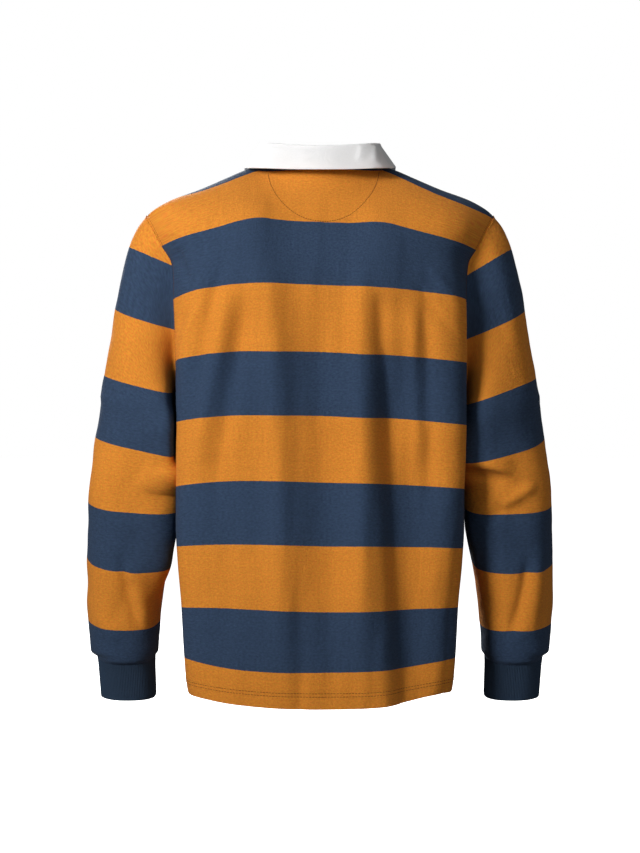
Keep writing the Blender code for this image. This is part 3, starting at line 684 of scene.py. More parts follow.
# The same on the sleeves: height at the middle of the sleeve, its slope outwards, and its fall backwards
sleeveMiddle = (0.262, -0.030)
leftSleeveHoops = table("height slope fall", (
    (0.0600, 0.43, 0.05),
    (-0.1175, 0.43, 0.05),
    (-0.2057, 0.2914, 0.1375),
    (-0.3031, 0.2234, 0.0758),
    (-0.3900, 0.1756, 0.1008),
    (-0.4715, 0.0516, 0.2157),
    (-0.5520, 0.0215, 0.3000),
    (-0.6419, 0.0273, 0.1982),
    (-0.7500, 0.0273, 0.1982),
))
rightSleeveHoops = table("height slope fall", (
    (0.0600, 0.6072, 0.0154),
    (-0.1227, 0.6072, 0.0154),
    (-0.2125, 0.4386, 0.1142),
    (-0.3136, 0.3589, 0.0359),
    (-0.3927, 0.1894, 0.1812),
    (-0.4771, 0.0435, 0.1895),
    (-0.5588, 0.0110, 0.2268),
    (-0.6466, 0.0352, 0.1161),
    (-0.7500, 0.0352, 0.1161),
))


# Hoops passed from the top, from the heights of the colour changes at each point
def hoopCount(height, edges):
    count = 0
    for upper, lower in zip(edges[:-1], edges[1:]):
        count = count + np.clip((upper - height) / (upper - lower), 0, 1)
    return count


# How much each of the five shares counts at a share of the half width
def shareWeights(share):
    weights = []
    for own in hoopShares:
        others = [other for other in hoopShares if other != own]
        weights.append(math.prod((share - other) / (own - other) for other in others))
    return weights


def bodyHoopCount(share, level):
    weights = shareWeights(share)
    edges = [sum(weight * value for weight, value in zip(weights, row)) for row in zip(*bodyHoops.values())]
    return hoopCount(level, edges) + 1


def sleeveHoopCount(points, hoops):
    x, y = points[..., 0] - sleeveMiddle[0], points[..., 1] - sleeveMiddle[1]
    edges = [at + slope * x - fall * y for at, slope, fall in zip(*hoops.values())]
    return hoopCount(points[..., 2], edges) + 2


# Each fold is a soft ridge (+) or trough (-) between two points, by way of a third
backFolds = table("x1 z1 x2 z2 x3 z3 halfWidth depth lean", (
    # the two ridges that run down the back, and the step beside the second one
    (0.072, -0.130, 0.057, -0.360, 0.044, -0.860, 0.022, 0.0105, 0.0),
    (-0.052, -0.110, -0.057, -0.400, -0.055, -0.860, 0.018, 0.0105, 0.0),
    (-0.078, -0.180, -0.082, -0.240, -0.090, -0.330, 0.010, -0.0040, 0.0),
    (-0.092, -0.240, -0.101, -0.480, -0.126, -0.860, 0.036, -0.0210, -0.55),
    (-0.140, -0.380, -0.140, -0.560, -0.132, -0.940, 0.038, -0.0120, 0.0),
    (0.006, -0.180, -0.006, -0.400, -0.016, -0.780, 0.022, -0.0060, 0.0),
    # shoulder blades
    (0.068, -0.030, 0.088, -0.130, 0.086, -0.250, 0.036, 0.0090, 0.0),
    (-0.068, -0.030, -0.083, -0.130, -0.086, -0.230, 0.028, 0.0060, 0.0),
    # towards the wearer's left side
    (0.140, -0.150, 0.176, -0.240, 0.190, -0.330, 0.010, 0.0036, 0.0),
    (0.130, -0.150, 0.149, -0.226, 0.172, -0.330, 0.010, -0.0040, 0.0),
    (0.116, -0.150, 0.145, -0.310, 0.176, -0.450, 0.012, 0.0052, 0.0),
    (0.092, -0.160, 0.118, -0.310, 0.146, -0.480, 0.014, -0.0062, 0.0),
    (0.150, -0.400, 0.132, -0.520, 0.130, -0.800, 0.026, -0.0060, 0.0),
    (0.184, -0.430, 0.186, -0.560, 0.180, -0.800, 0.012, 0.0040, 0.0),
    # towards the wearer's right side
    (-0.120, -0.190, -0.127, -0.300, -0.140, -0.520, 0.009, 0.0034, 0.0),
    (-0.138, -0.190, -0.147, -0.300, -0.158, -0.520, 0.009, -0.0040, 0.0),
    (-0.176, -0.110, -0.182, -0.330, -0.180, -0.540, 0.026, 0.0110, 0.0),
    # short creases from the underarms, and at the hem
    (0.192, -0.122, 0.184, -0.150, 0.175, -0.176, 0.007, -0.0030, 0.3),
    (0.196, -0.235, 0.178, -0.215, 0.150, -0.180, 0.007, -0.0026, 0.0),
    (-0.120, -0.170, -0.150, -0.205, -0.186, -0.262, 0.008, -0.0034, 0.2),
    (-0.140, -0.150, -0.164, -0.180, -0.188, -0.225, 0.007, 0.0022, 0.0),
    (0.030, -0.560, 0.028, -0.680, 0.030, -0.860, 0.010, -0.0028, 0.0),
    (-0.028, -0.560, -0.030, -0.680, -0.026, -0.860, 0.012, 0.0024, 0.0),
    (0.100, -0.640, 0.096, -0.690, 0.098, -0.800, 0.012, -0.0022, 0.0),
    (-0.080, -0.640, -0.084, -0.700, -0.083, -0.860, 0.010, 0.0034, 0.0),
))
frontFolds = table("x1 z1 x2 z2 x3 z3 halfWidth depth lean", (
    (0.105, -0.200, 0.098, -0.430, 0.112, -0.715, 0.022, 0.0045, 0.0),
    (0.058, -0.260, 0.052, -0.450, 0.064, -0.715, 0.021, -0.0050, 0.0),
    (-0.078, -0.240, -0.070, -0.430, -0.082, -0.715, 0.022, 0.0040, 0.0),
    (-0.122, -0.200, -0.112, -0.420, -0.128, -0.690, 0.020, -0.0055, 0.0),
    (0.000, -0.300, 0.006, -0.460, 0.000, -0.700, 0.022, 0.0030, 0.0),
    (0.186, -0.130, 0.176, -0.160, 0.165, -0.190, 0.007, -0.0026, 0.3),
    (-0.186, -0.130, -0.174, -0.165, -0.160, -0.200, 0.007, -0.0026, 0.3),
    (0.140, -0.220, 0.130, -0.260, 0.126, -0.310, 0.009, -0.0016, 0.0),
    (-0.150, -0.240, -0.148, -0.280, -0.140, -0.330, 0.008, -0.0018, 0.0),
    (0.030, -0.250, 0.040, -0.290, 0.060, -0.330, 0.010, -0.0016, 0.0),
    (-0.026, -0.250, -0.040, -0.290, -0.056, -0.340, 0.010, -0.0014, 0.0),
    (0.090, -0.580, 0.084, -0.650, 0.088, -0.735, 0.013, -0.0018, 0.0),
    (-0.030, -0.600, -0.034, -0.660, -0.030, -0.735, 0.013, -0.0016, 0.0),
    (-0.145, -0.590, -0.140, -0.660, -0.146, -0.735, 0.012, 0.0016, 0.0),
))
seams = {
    "roll": 0.0004,  # how far a sewn edge turns in
    "rollReach": 0.0035,
    "topstitch": 0.0042,  # from the armhole's edge
    "hemRows": (0.0166, 0.0210),  # above the hem's edge
    "hemStitch": 0.0034,
    "armholeStitch": 0.0028,
    "armholeThread": 0.00022,
    "freeRows": 3,  # without stitches at each end of an armhole
    "nearColumns": 60,  # the first columns of a panel, where its armhole stitches lie
    "cuffStitch": 0.0028,
    "moonPoints": 160,
    "moonStitch": 0.0026,
    "moonThread": 0.00042,
    "whiteStitch": 0.0024,
    "whiteThread": 0.00022,
    "buttonholeStitch": 0.0009,
    "buttonholeThread": 0.00045,
    "buttonholeHalf": 0.0085,
    "buttonholeSide": 0.0006,
    "aboveCuff": 0.0115,
    "collarEdge": 0.0050,
    "placketFoot": (0.0020, 0.0200),
    "placketIn": 1.5,  # columns from its side
}


def panelShares(columns):
    place = np.linspace(-1, 1, 2 * columns + 1)
    size = np.abs(place)
    low = np.sin(size * math.pi / 2)
    onNeck = neck["halfWidth"] * np.sin(np.clip(size / body["neckShare"], 0, 1) * math.pi / 2)
    past = (size - body["neckShare"]) / (1 - body["neckShare"])
    onShoulder = neck["halfWidth"] + (body["tipX"] - neck["halfWidth"]) * past
    top = np.where(size <= body["neckShare"], onNeck, onShoulder)
    return np.sign(place) * low, np.sign(place) * top


def armholeLevels():
    share = (1 - np.cos(np.linspace(0, math.pi, body["rowsAbove"] + 1))) / 2
    return body["underarm"] * (1 - share)


# The first rows lie close together, where the hem's folded edge is round
def panelLevels():
    edge = body["hem"] + np.array((0.0, 0.0002, 0.0006, 0.0013))
    turned = np.linspace(body["hem"] + 0.0013, body["hem"] + body["hemTurn"], body["rowsHem"])[1:]
    below = np.linspace(body["hem"] + body["hemTurn"], body["underarm"], body["rowsBelow"] + 1)[1:]
    return np.concatenate((edge, turned, below, armholeLevels()[1:]))


# Half wall by row: full, and round at the folded edge
def foldedWall(distance, full):
    near = np.clip(distance / (full / 2), 0, 1)
    return full / 2 * np.sqrt(np.clip(1 - (1 - near) ** 2, body["edgeWall"], 1))


def panelGrid(side, columns, folds, seed):
    lowShare, top = panelShares(columns)
    levels = panelLevels()[:, None]
    lean = ease((levels - body["underarm"]) / -body["underarm"])
    share = lowShare + (top / body["tipX"] - lowShare) * lean
    if side == "front":
        # Keeps the columns beside the placket straight
        gap = np.abs(top) < placket["halfWidth"] * 1.001
        straight = top / sideX(levels)
        share = np.where(gap, straight, share)
    grid = panelPoints(side, share, top, levels)
    # Evens out the bend below the neck's corners
    bent = ease((body["eveningFrom"] - levels) / 0.02) * ease((levels - body["eveningTo"]) / 0.10)
    soften = body["evening"] * bent[..., None]
    for _ in range(body["eveningPasses"]):
        grid[:, 1:-1] += soften * (grid[:, 2:] - 2 * grid[:, 1:-1] + grid[:, :-2])
    normals = gridNormals(grid, False) * -facing[side]
    inside = ease((1 - np.abs(share)) * body["sideFade"])  # nought at the side seams and armholes
    across, up = grid[..., 0], grid[..., 2]
    relief = foldRelief(folds, across, up)
    relief = relief + softWaves(across, up, seed, body["wave"])
    relief = relief + softWaves(
        across, up, seed + 20, body["ripple"], longest=body["rippleLength"], count=7, upright=0.18)
    relief = relief * inside * ease(-levels / body["topFade"])
    low = ease((body["hem"] + body["hemWaveRise"] - levels) / body["hemWaveRise"])
    relief = relief + hemWaves(across, seed) * low * inside
    # Sewn edges turn in a little: side seams, armholes and shoulders
    toSide = (1 - np.abs(share)) * sideX(levels) * body["sideStretch"]
    relief = relief - seams["roll"] * np.exp(-(toSide / seams["rollReach"]) ** 2)
    onShoulder = np.abs(top) >= neck["halfWidth"]
    relief = relief - seams["roll"] * np.exp(-(levels / seams["rollReach"]) ** 2) * onShoulder
    grid = grid + normals * relief[..., None]
    normals = gridNormals(grid, False) * -facing[side]
    return grid, normals, levels[:, 0], share, clothPlaces(lowShare * body["clothHalf"], levels)


def hemWaves(across, seed):
    return softWaves(
        across, 0 * across, seed + 50, body["hemWave"], longest=body["hemWaveLength"], count=5, upright=0.0)


placket = {
    "halfWidth": 0.0155,
    "foot": 0.75 * body["underarm"],
    "wall": 0.0014,
    "lay": 0.0004,
    "top": -0.0020,
    "rows": 70,
    "columns": 17,
    "underNarrower": 0.0003,
    "underShorter": 0.004,
    "overWider": 0.0015,
    "overLonger": 0.006,
    "buttonLevels": (-0.085, -0.140, -0.195),
}


def addPanel(name, node, side, columns, folds, seed):
    grid, normals, levels, share, cloth = panelGrid(side, columns, folds, seed)
    hoop = bodyHoopCount(share, levels[:, None])
    full = np.where(levels < body["hem"] + body["hemTurn"], body["hemWall"], body["wall"])
    outer = np.minimum(foldedWall(levels - body["hem"], full), body["wall"] / 2)
    inner = foldedWall(levels - body["hem"], full) * 2 - outer
    keep = np.ones((len(levels) - 1, 2 * columns), bool)
    if side == "front":
        top = panelShares(columns)[1]
        inGap = (np.abs(top[:-1]) < placket["halfWidth"]) & (np.abs(top[1:]) < placket["halfWidth"])
        keep[np.ix_(levels[:-1] > placket["foot"], inGap)] = False
    if side == "back":
        grid, normals, cloth, hoop, keep = (part[:, ::-1] for part in (grid, normals, cloth, hoop, keep))
    piece = wallPiece(name, grid, normals, outer, inner, jerseyCloth, cloth, hoop, keep=keep)
    stands(node)
    return grid, normals, levels


backGrid, backNormals, backLevels = addPanel(
    "backPanel", "back_panel", "back", body["columnsBack"], backFolds,
    seed=3)
frontGrid, frontNormals, frontLevels = addPanel(
    "frontPanel", "front_panel", "front", body["columnsFront"], frontFolds,
    seed=8)
panels = ((backGrid, backNormals, backLevels), (frontGrid, frontNormals, frontLevels))
print("back and front made")


sleeve = {
    "rowsSwing": 70,
    "rowsArm": 110,
    "rowsEnd": 6,
    "swingPower": 1.3,  # the rings lie closer to one another near the armhole
    "tuck": 0.0009,  # of the armhole edge under the body's
    "tuckReach": 0.003,
    "elbow": -0.45,
    "forearm": -0.55,
    "squareness": 2.5,
    "lowerOuter": 1.9,  # the outer side of the forearm is less square
    "forward": 0.45,
    "forwardTo": -0.455,
    "wave": 0.0006,
    "waveOver": 0.0005,
    "waveRound": 2.0,  # waves are shorter round the arm than along it
    "waveDown": 1.3,
    "waveUpright": 1.2,
    "waveFade": (8, 12),  # 1 over the share of the length, at the armhole and at the cuff
    "innerHalf": 45,  # degrees each side of the inner middle where folds fade
}
sleeveRows = table("height outer inner centre halfDepth rise fall", (
    (-0.3343, 0.3096, 0.2012, -0.022, 0.0740, 0.20, 0.05),
    (-0.3860, 0.3172, 0.2008, -0.028, 0.0710, 0.13, 0.08),
    (-0.4420, 0.3230, 0.2008, -0.031, 0.0680, 0.05, 0.10),
    (-0.4985, 0.3268, 0.2056, -0.033, 0.0650, 0.00, 0.12),
    (-0.5556, 0.3280, 0.2150, -0.036, 0.0610, 0.00, 0.14),
    (-0.6130, 0.3290, 0.2248, -0.040, 0.0570, 0.00, 0.15),
    (-0.6414, 0.3276, 0.2276, -0.042, 0.0550, 0.00, 0.16),
    (-0.6698, 0.3260, 0.2296, -0.044, 0.0530, 0.00, 0.18),
    (-0.6845, 0.3245, 0.2304, -0.045, 0.0510, 0.00, 0.19),
    (-0.6905, 0.3158, 0.2342, -0.045, 0.0455, 0.00, 0.19),
))
swingRows = table("share innerX innerZ outerX outerZ", (
    (0.00, 0.1984, -0.3180, 0.2400, -0.0738),
    (0.07, 0.2010, -0.3162, 0.2522, -0.0893),
    (0.16, 0.2026, -0.3174, 0.2632, -0.1125),
    (0.28, 0.2032, -0.3204, 0.2732, -0.1450),
    (0.42, 0.2034, -0.3250, 0.2816, -0.1835),
    (0.60, 0.2033, -0.3310, 0.2908, -0.2280),
    (0.80, 0.2029, -0.3380, 0.3000, -0.2750),
    (1.00, 0.2024, -0.3450, 0.3096, -0.3236),
))
# By the turn round the sleeve from its outer side over the back, in degrees
leftSleeveFolds = table("turn1 z1 turn2 z2 turn3 z3 halfWidth depth lean", (
    (150.0, -0.425, 120.0, -0.440, 95.0, -0.436, 0.016, -0.0035, 0.0),
    (110.0, -0.570, 90.0, -0.610, 75.0, -0.650, 0.016, 0.0030, 0.0),
    (250.0, -0.400, 280.0, -0.430, 310.0, -0.425, 0.018, -0.0045, 0.0),
    (240.0, -0.520, 270.0, -0.560, 300.0, -0.600, 0.018, 0.0035, 0.0),
    (172.0, -0.402, 148.0, -0.408, 112.0, -0.414, 0.007, 0.0034, 0.2),
    (172.0, -0.416, 146.0, -0.424, 108.0, -0.430, 0.007, -0.0046, 0.2),
    (80.0, -0.535, 98.0, -0.590, 120.0, -0.660, 0.009, 0.0040, 0.0),
    (94.0, -0.545, 112.0, -0.600, 134.0, -0.660, 0.010, -0.0046, 0.2),
    (146.0, -0.400, 140.0, -0.500, 150.0, -0.620, 0.030, -0.0180, 0.0),
    (160.0, -0.345, 130.0, -0.365, 100.0, -0.372, 0.012, -0.0014, 0.0),
    (60.0, -0.470, 80.0, -0.500, 105.0, -0.510, 0.012, -0.0012, 0.0),
    (50.0, -0.620, 70.0, -0.650, 95.0, -0.668, 0.010, -0.0014, 0.0),
    (200.0, -0.390, 230.0, -0.405, 265.0, -0.400, 0.008, -0.0028, 0.2),
    (210.0, -0.455, 235.0, -0.470, 262.0, -0.468, 0.008, -0.0022, 0.0),
    (255.0, -0.600, 285.0, -0.630, 305.0, -0.665, 0.010, -0.0020, 0.0),
))
rightSleeveFolds = table("turn1 z1 turn2 z2 turn3 z3 halfWidth depth lean", (
    (150.0, -0.385, 115.0, -0.405, 80.0, -0.425, 0.016, -0.0050, 0.0),
    (88.0, -0.455, 86.0, -0.510, 84.0, -0.580, 0.022, 0.0060, 0.0),
    (68.0, -0.540, 85.0, -0.600, 108.0, -0.670, 0.009, 0.0060, 0.0),
    (245.0, -0.410, 275.0, -0.425, 310.0, -0.405, 0.018, -0.0045, 0.0),
    (235.0, -0.540, 265.0, -0.575, 300.0, -0.625, 0.018, 0.0035, 0.0),
    (176.0, -0.400, 125.0, -0.415, 74.0, -0.440, 0.007, -0.0064, -0.3),
    (160.0, -0.418, 125.0, -0.432, 92.0, -0.446, 0.008, 0.0040, 0.0),
    (58.0, -0.444, 80.0, -0.462, 112.0, -0.486, 0.007, -0.0042, 0.0),
    (96.0, -0.468, 110.0, -0.488, 134.0, -0.502, 0.008, 0.0030, 0.0),
    (152.0, -0.350, 148.0, -0.400, 152.0, -0.460, 0.020, -0.0080, 0.0),
    (150.0, -0.480, 150.0, -0.525, 148.0, -0.580, 0.011, -0.0030, 0.0),
    (52.0, -0.520, 64.0, -0.600, 82.0, -0.670, 0.013, -0.0046, 0.0),
    (150.0, -0.340, 130.0, -0.352, 100.0, -0.356, 0.012, -0.0014, 0.0),
    (200.0, -0.395, 230.0, -0.410, 262.0, -0.402, 0.008, -0.0028, 0.2),
    (212.0, -0.470, 240.0, -0.482, 266.0, -0.478, 0.008, -0.0020, 0.0),
    (250.0, -0.610, 280.0, -0.640, 300.0, -0.668, 0.010, -0.0020, 0.0),
))


# One ring round the arm, from the inner side over the back
def sleeveRing(rows, height, count, squarer=0.0):
    turn = math.pi - np.arange(count) * 2 * math.pi / count
    inside = sleeve["squareness"] + squarer * ease((height - sleeve["elbow"]) / 0.05)
    upper = ease((height - sleeve["forearm"]) / 0.12)
    outside = sleeve["lowerOuter"] + (sleeve["squareness"] - sleeve["lowerOuter"]) * upper
    power = np.where(np.cos(turn) < 0, inside, outside)
    full = (np.abs(np.cos(turn)) ** power + np.abs(np.sin(turn)) ** power) ** (-1 / power)
    along, over = np.cos(turn) * full, np.sin(turn) * full
    outer, inner, centre, halfDepth, rise, fall = (
        curve(rows, "height", name) for name in rows if name != "height")
    half = (outer(height) - inner(height)) / 2
    z = height + rise(height) * half * along - fall(height) * halfDepth(height) * over
    at = np.clip(z, rows["height"].min(), rows["height"].max())
    middle, half = (outer(at) + inner(at)) / 2, (outer(at) - inner(at)) / 2
    x = middle + half * along
    # The upper arm's outer side lies further forwards
    forward = sleeve["forward"] * ease((height - sleeve["forwardTo"]) / 0.10)
    y = centre(height) + halfDepth(height) * over - forward * half * along
    return np.stack((x, y, z), axis=-1)


# The panels' armhole edges as one ring, from the underarm up the back and down the front
def armholeRing():
    levels = armholeLevels()
    back, front = (panelPoints(side, 1.0, body["tipX"], levels) for side in ("back", "front"))
    return np.concatenate((back, front[-2:0:-1]))


def swingRings(count, squarer):
    ends = {name: curve(swingRows, "share", name) for name in swingRows if name != "share"}

    def frameAt(share):
        inner = np.array((ends["innerX"](share), ends["innerZ"](share)))
        outer = np.array((ends["outerX"](share), ends["outerZ"](share)))
        along = outer - inner
        return inner, along, np.array((-along[1], along[0])) / np.linalg.norm(along)

    def local(ring, share):
        inner, along, off = frameAt(share)
        flat = ring[:, (0, 2)] - inner
        return flat @ along / (along @ along), flat @ off, ring[:, 1]

    start = local(armholeRing(), 0.0)
    end = local(sleeveRing(sleeveRows, sleeveRows["height"][0], count, squarer), 1.0)
    rings = []
    for share in np.linspace(0, 1, sleeve["rowsSwing"] + 1)[:-1] ** sleeve["swingPower"]:
        weight = ease(share)
        alongPart, offPart, depth = (a + (b - a) * weight for a, b in zip(start, end))
        inner, along, off = frameAt(share)
        flat = inner + np.outer(alongPart, along) + np.outer(offPart, off)
        rings.append(np.stack((flat[:, 0], depth, flat[:, 1]), axis=-1))
    return rings


def sleeveGrid(folds, seed, squarer):
    count = 2 * body["rowsAbove"]
    heights = np.linspace(sleeveRows["height"][0], sleeveRows["height"][-2], sleeve["rowsArm"])
    end = np.linspace(sleeveRows["height"][-2], sleeveRows["height"][-1], sleeve["rowsEnd"] + 1)
    heights = np.append(heights, end[1:])
    rings = swingRings(count, squarer)
    rings += [sleeveRing(sleeveRows, height, count, squarer) for height in heights]
    grid = np.array(rings)[::-1]
    normals = gridNormals(grid, True)
    centreX = (grid[..., 0].max(axis=1) + grid[..., 0].min(axis=1))[:, None] / 2
    centreY = grid[..., 1].mean(axis=1, keepdims=True)
    turns = np.degrees(np.arctan2(grid[..., 1] - centreY, grid[..., 0] - centreX)) % 360
    arm = sleeveRows["halfDepth"].mean()
    flatFolds = dict(folds)
    for name in ("turn1", "turn2", "turn3"):
        flatFolds[name] = np.radians(folds[name]) * arm
    angle, up = np.radians(turns), grid[..., 2]
    relief = foldRelief(flatFolds, angle * arm, up)
    relief = relief * ease(np.abs((turns - 180) / sleeve["innerHalf"]))
    across, over = (part(angle) * arm * sleeve["waveRound"] for part in (np.cos, np.sin))
    wave = softWaves(across, up * sleeve["waveDown"], seed, sleeve["wave"], upright=sleeve["waveUpright"])
    wave = wave + softWaves(
        over, up * sleeve["waveDown"], seed + 1, sleeve["waveOver"], upright=sleeve["waveUpright"])
    down = np.linspace(0, 1, len(grid))[::-1, None]  # nought at the armhole
    fadeTop, fadeEnd = sleeve["waveFade"]
    relief = relief + wave * ease(down * fadeTop) * ease((1 - down) * fadeEnd)
    grid = grid + normals * relief[..., None]
    # The armhole edge lies a little under the body's edge
    toHole = np.linalg.norm(grid - grid[-1], axis=-1)
    tuck = sleeve["tuck"] * np.exp(-(toHole / sleeve["tuckReach"]) ** 2)
    grid = grid - gridNormals(grid, True) * tuck[..., None]
    run = upTheGrid(grid)
    places = np.linspace(0, 2 * math.pi * arm, count + 1)
    return grid, gridNormals(grid, True), clothPlaces(places, run[:, None])


def addSleeve(name, node, folds, hoops, seed, squarer, right):
    grid, normals, cloth = sleeveGrid(folds, seed, squarer)
    hoop = sleeveHoopCount(grid, hoops)
    if right:
        grid, normals, cloth, hoop = mirrored(grid, normals, cloth, hoop)
    wall = body["wall"]
    piece = wallPiece(name, grid, normals, wall / 2, wall / 2, jerseyCloth, cloth, hoop, wraps=True)
    stands(node)
    return grid, normals


# The left sleeve lies squarer against the body
leftSleeve = addSleeve(
    "sleeveLeft", "sleeve_left", leftSleeveFolds, leftSleeveHoops, seed=21, squarer=6.5, right=False)
rightSleeve = addSleeve(
    "sleeveRight", "sleeve_right", rightSleeveFolds, rightSleeveHoops, seed=34, squarer=0.6, right=True)
print("sleeves made")


cuff = {
    "top": -0.6905,
    "end": -0.7500,
    "clear": 0.0004,  # of the sleeve's end
    "round": 0.25,  # length of its cloth round the wrist
    "plainEnd": 0.004,  # where the ribs run out
    "wall": 0.0024,
    "ribs": 108,
    "stepsPerRib": 4,
    "ribDepth": 0.00035,
    "rows": 26,
}
cuffRows = table("height outer inner centre halfDepth rise fall", (
    (-0.6905, 0.3148, 0.2352, -0.045, 0.0440, 0.00, 0.19),
    (-0.7050, 0.3133, 0.2356, -0.047, 0.0428, 0.00, 0.15),
    (-0.7270, 0.3118, 0.2352, -0.049, 0.0422, 0.00, 0.09),
    (-0.7500, 0.3102, 0.2346, -0.051, 0.0426, 0.00, 0.03),
))


def addCuff(name, node, right):
    count = cuff["ribs"] * cuff["stepsPerRib"]
    edge = cuff["end"] + np.array((0.0, 0.0002, 0.0006, 0.0012))
    rest = np.linspace(edge[-1], cuff["top"] - cuff["clear"], cuff["rows"])[1:]
    heights = np.concatenate((edge, rest))
    grid = np.array([sleeveRing(cuffRows, height, count) for height in heights])
    normals = gridNormals(grid, True)
    rib = np.cos(np.arange(count) * 2 * math.pi / cuff["stepsPerRib"]) * cuff["ribDepth"]
    rib = rib * ease((heights - cuff["end"]) / cuff["plainEnd"])[:, None]
    grid = grid + normals * rib[..., None]
    half = foldedWall(heights - cuff["end"], cuff["wall"])
    cloth = clothPlaces(np.linspace(0, cuff["round"], count + 1), heights[:, None])
    if right:
        grid, normals, cloth = mirrored(grid, normals, cloth)
    piece = wallPiece(name, grid, normals, half, half, ribCloth, cloth, wraps=True)
    stands(node)


addCuff("cuffLeft", "cuff_left", right=False)
addCuff("cuffRight", "cuff_right", right=True)
print("cuffs made")


collar = {
    "wall": 0.0020,
    "roll": 0.0055,
    "crown": 0.0040,
    "stations": 220,
    "standRows": 8,
    "rollRows": 14,
    "fallRows": 26,
    "lay": 0.0006,
    "squarer": 0.0100,
    "squarerAt": 50,  # degrees from the middle of the back
    "squarerHalf": 20,
    "squarerOut": 0.25,
    "squarerIn": 0.8,  # share of it at the top of the stand
    "squarerRoll": 0.9,  # and past the roll
    "backRows": 60,  # the panels' top rows, and the half width of them, that the fall may lie on
    "frontRows": 90,
    "reach": 0.16,
    "evening": 0.4,  # in each of the passes
    "eveningPasses": 3,
}
collarRows = table("turn stand lean edgeOut edgeDown edgeSide", (
    (0.0, 0.0265, 0.0030, 0.0215, 0.0060, 0.0000),
    (45.0, 0.0280, 0.0000, 0.0215, 0.0060, 0.0000),
    (90.0, 0.0292, -0.0060, 0.0205, 0.0030, 0.0000),
    (125.0, 0.0290, -0.0060, 0.0220, 0.0300, 0.0040),
    (155.0, 0.0240, -0.0030, 0.0300, 0.0480, 0.0240),
    (179.0, 0.0205, 0.0000, 0.0370, 0.0570, 0.0480),
))


# Along the collar by its turn over 100, and from its foot (0) over the roll to its edge (1)
collarFolds = table("x1 z1 x2 z2 x3 z3 halfWidth depth lean", (
    (-0.36, 0.38, -0.34, 0.60, -0.28, 0.86, 0.035, 0.0014, 0.4),
    (-0.58, 0.42, -0.50, 0.60, -0.44, 0.90, 0.040, 0.0014, 0.3),
    (-0.75, 0.45, -0.70, 0.70, -0.74, 0.98, 0.040, -0.0012, 0.0),
    (0.10, 0.50, 0.12, 0.70, 0.10, 0.95, 0.060, 0.0007, 0.0),
    (0.55, 0.45, 0.60, 0.65, 0.58, 0.95, 0.050, 0.0007, 0.0),
    (1.20, 0.50, 1.26, 0.70, 1.34, 0.90, 0.060, 0.0010, 0.0),
    (-1.28, 0.48, -1.32, 0.70, -1.30, 0.92, 0.060, 0.0009, 0.0),
))


# Pushes points out until they clear the panels
def pushedOut(row, cloth, outwards, room):
    nearest = np.empty(len(row), int)
    for i, point in enumerate(row):
        nearest[i] = ((cloth - point) ** 2).sum(axis=1).argmin()
    height = np.einsum("ij,ij->i", row - cloth[nearest], outwards[nearest])
    return row + outwards[nearest] * np.clip(room - height, 0, None)[:, None]


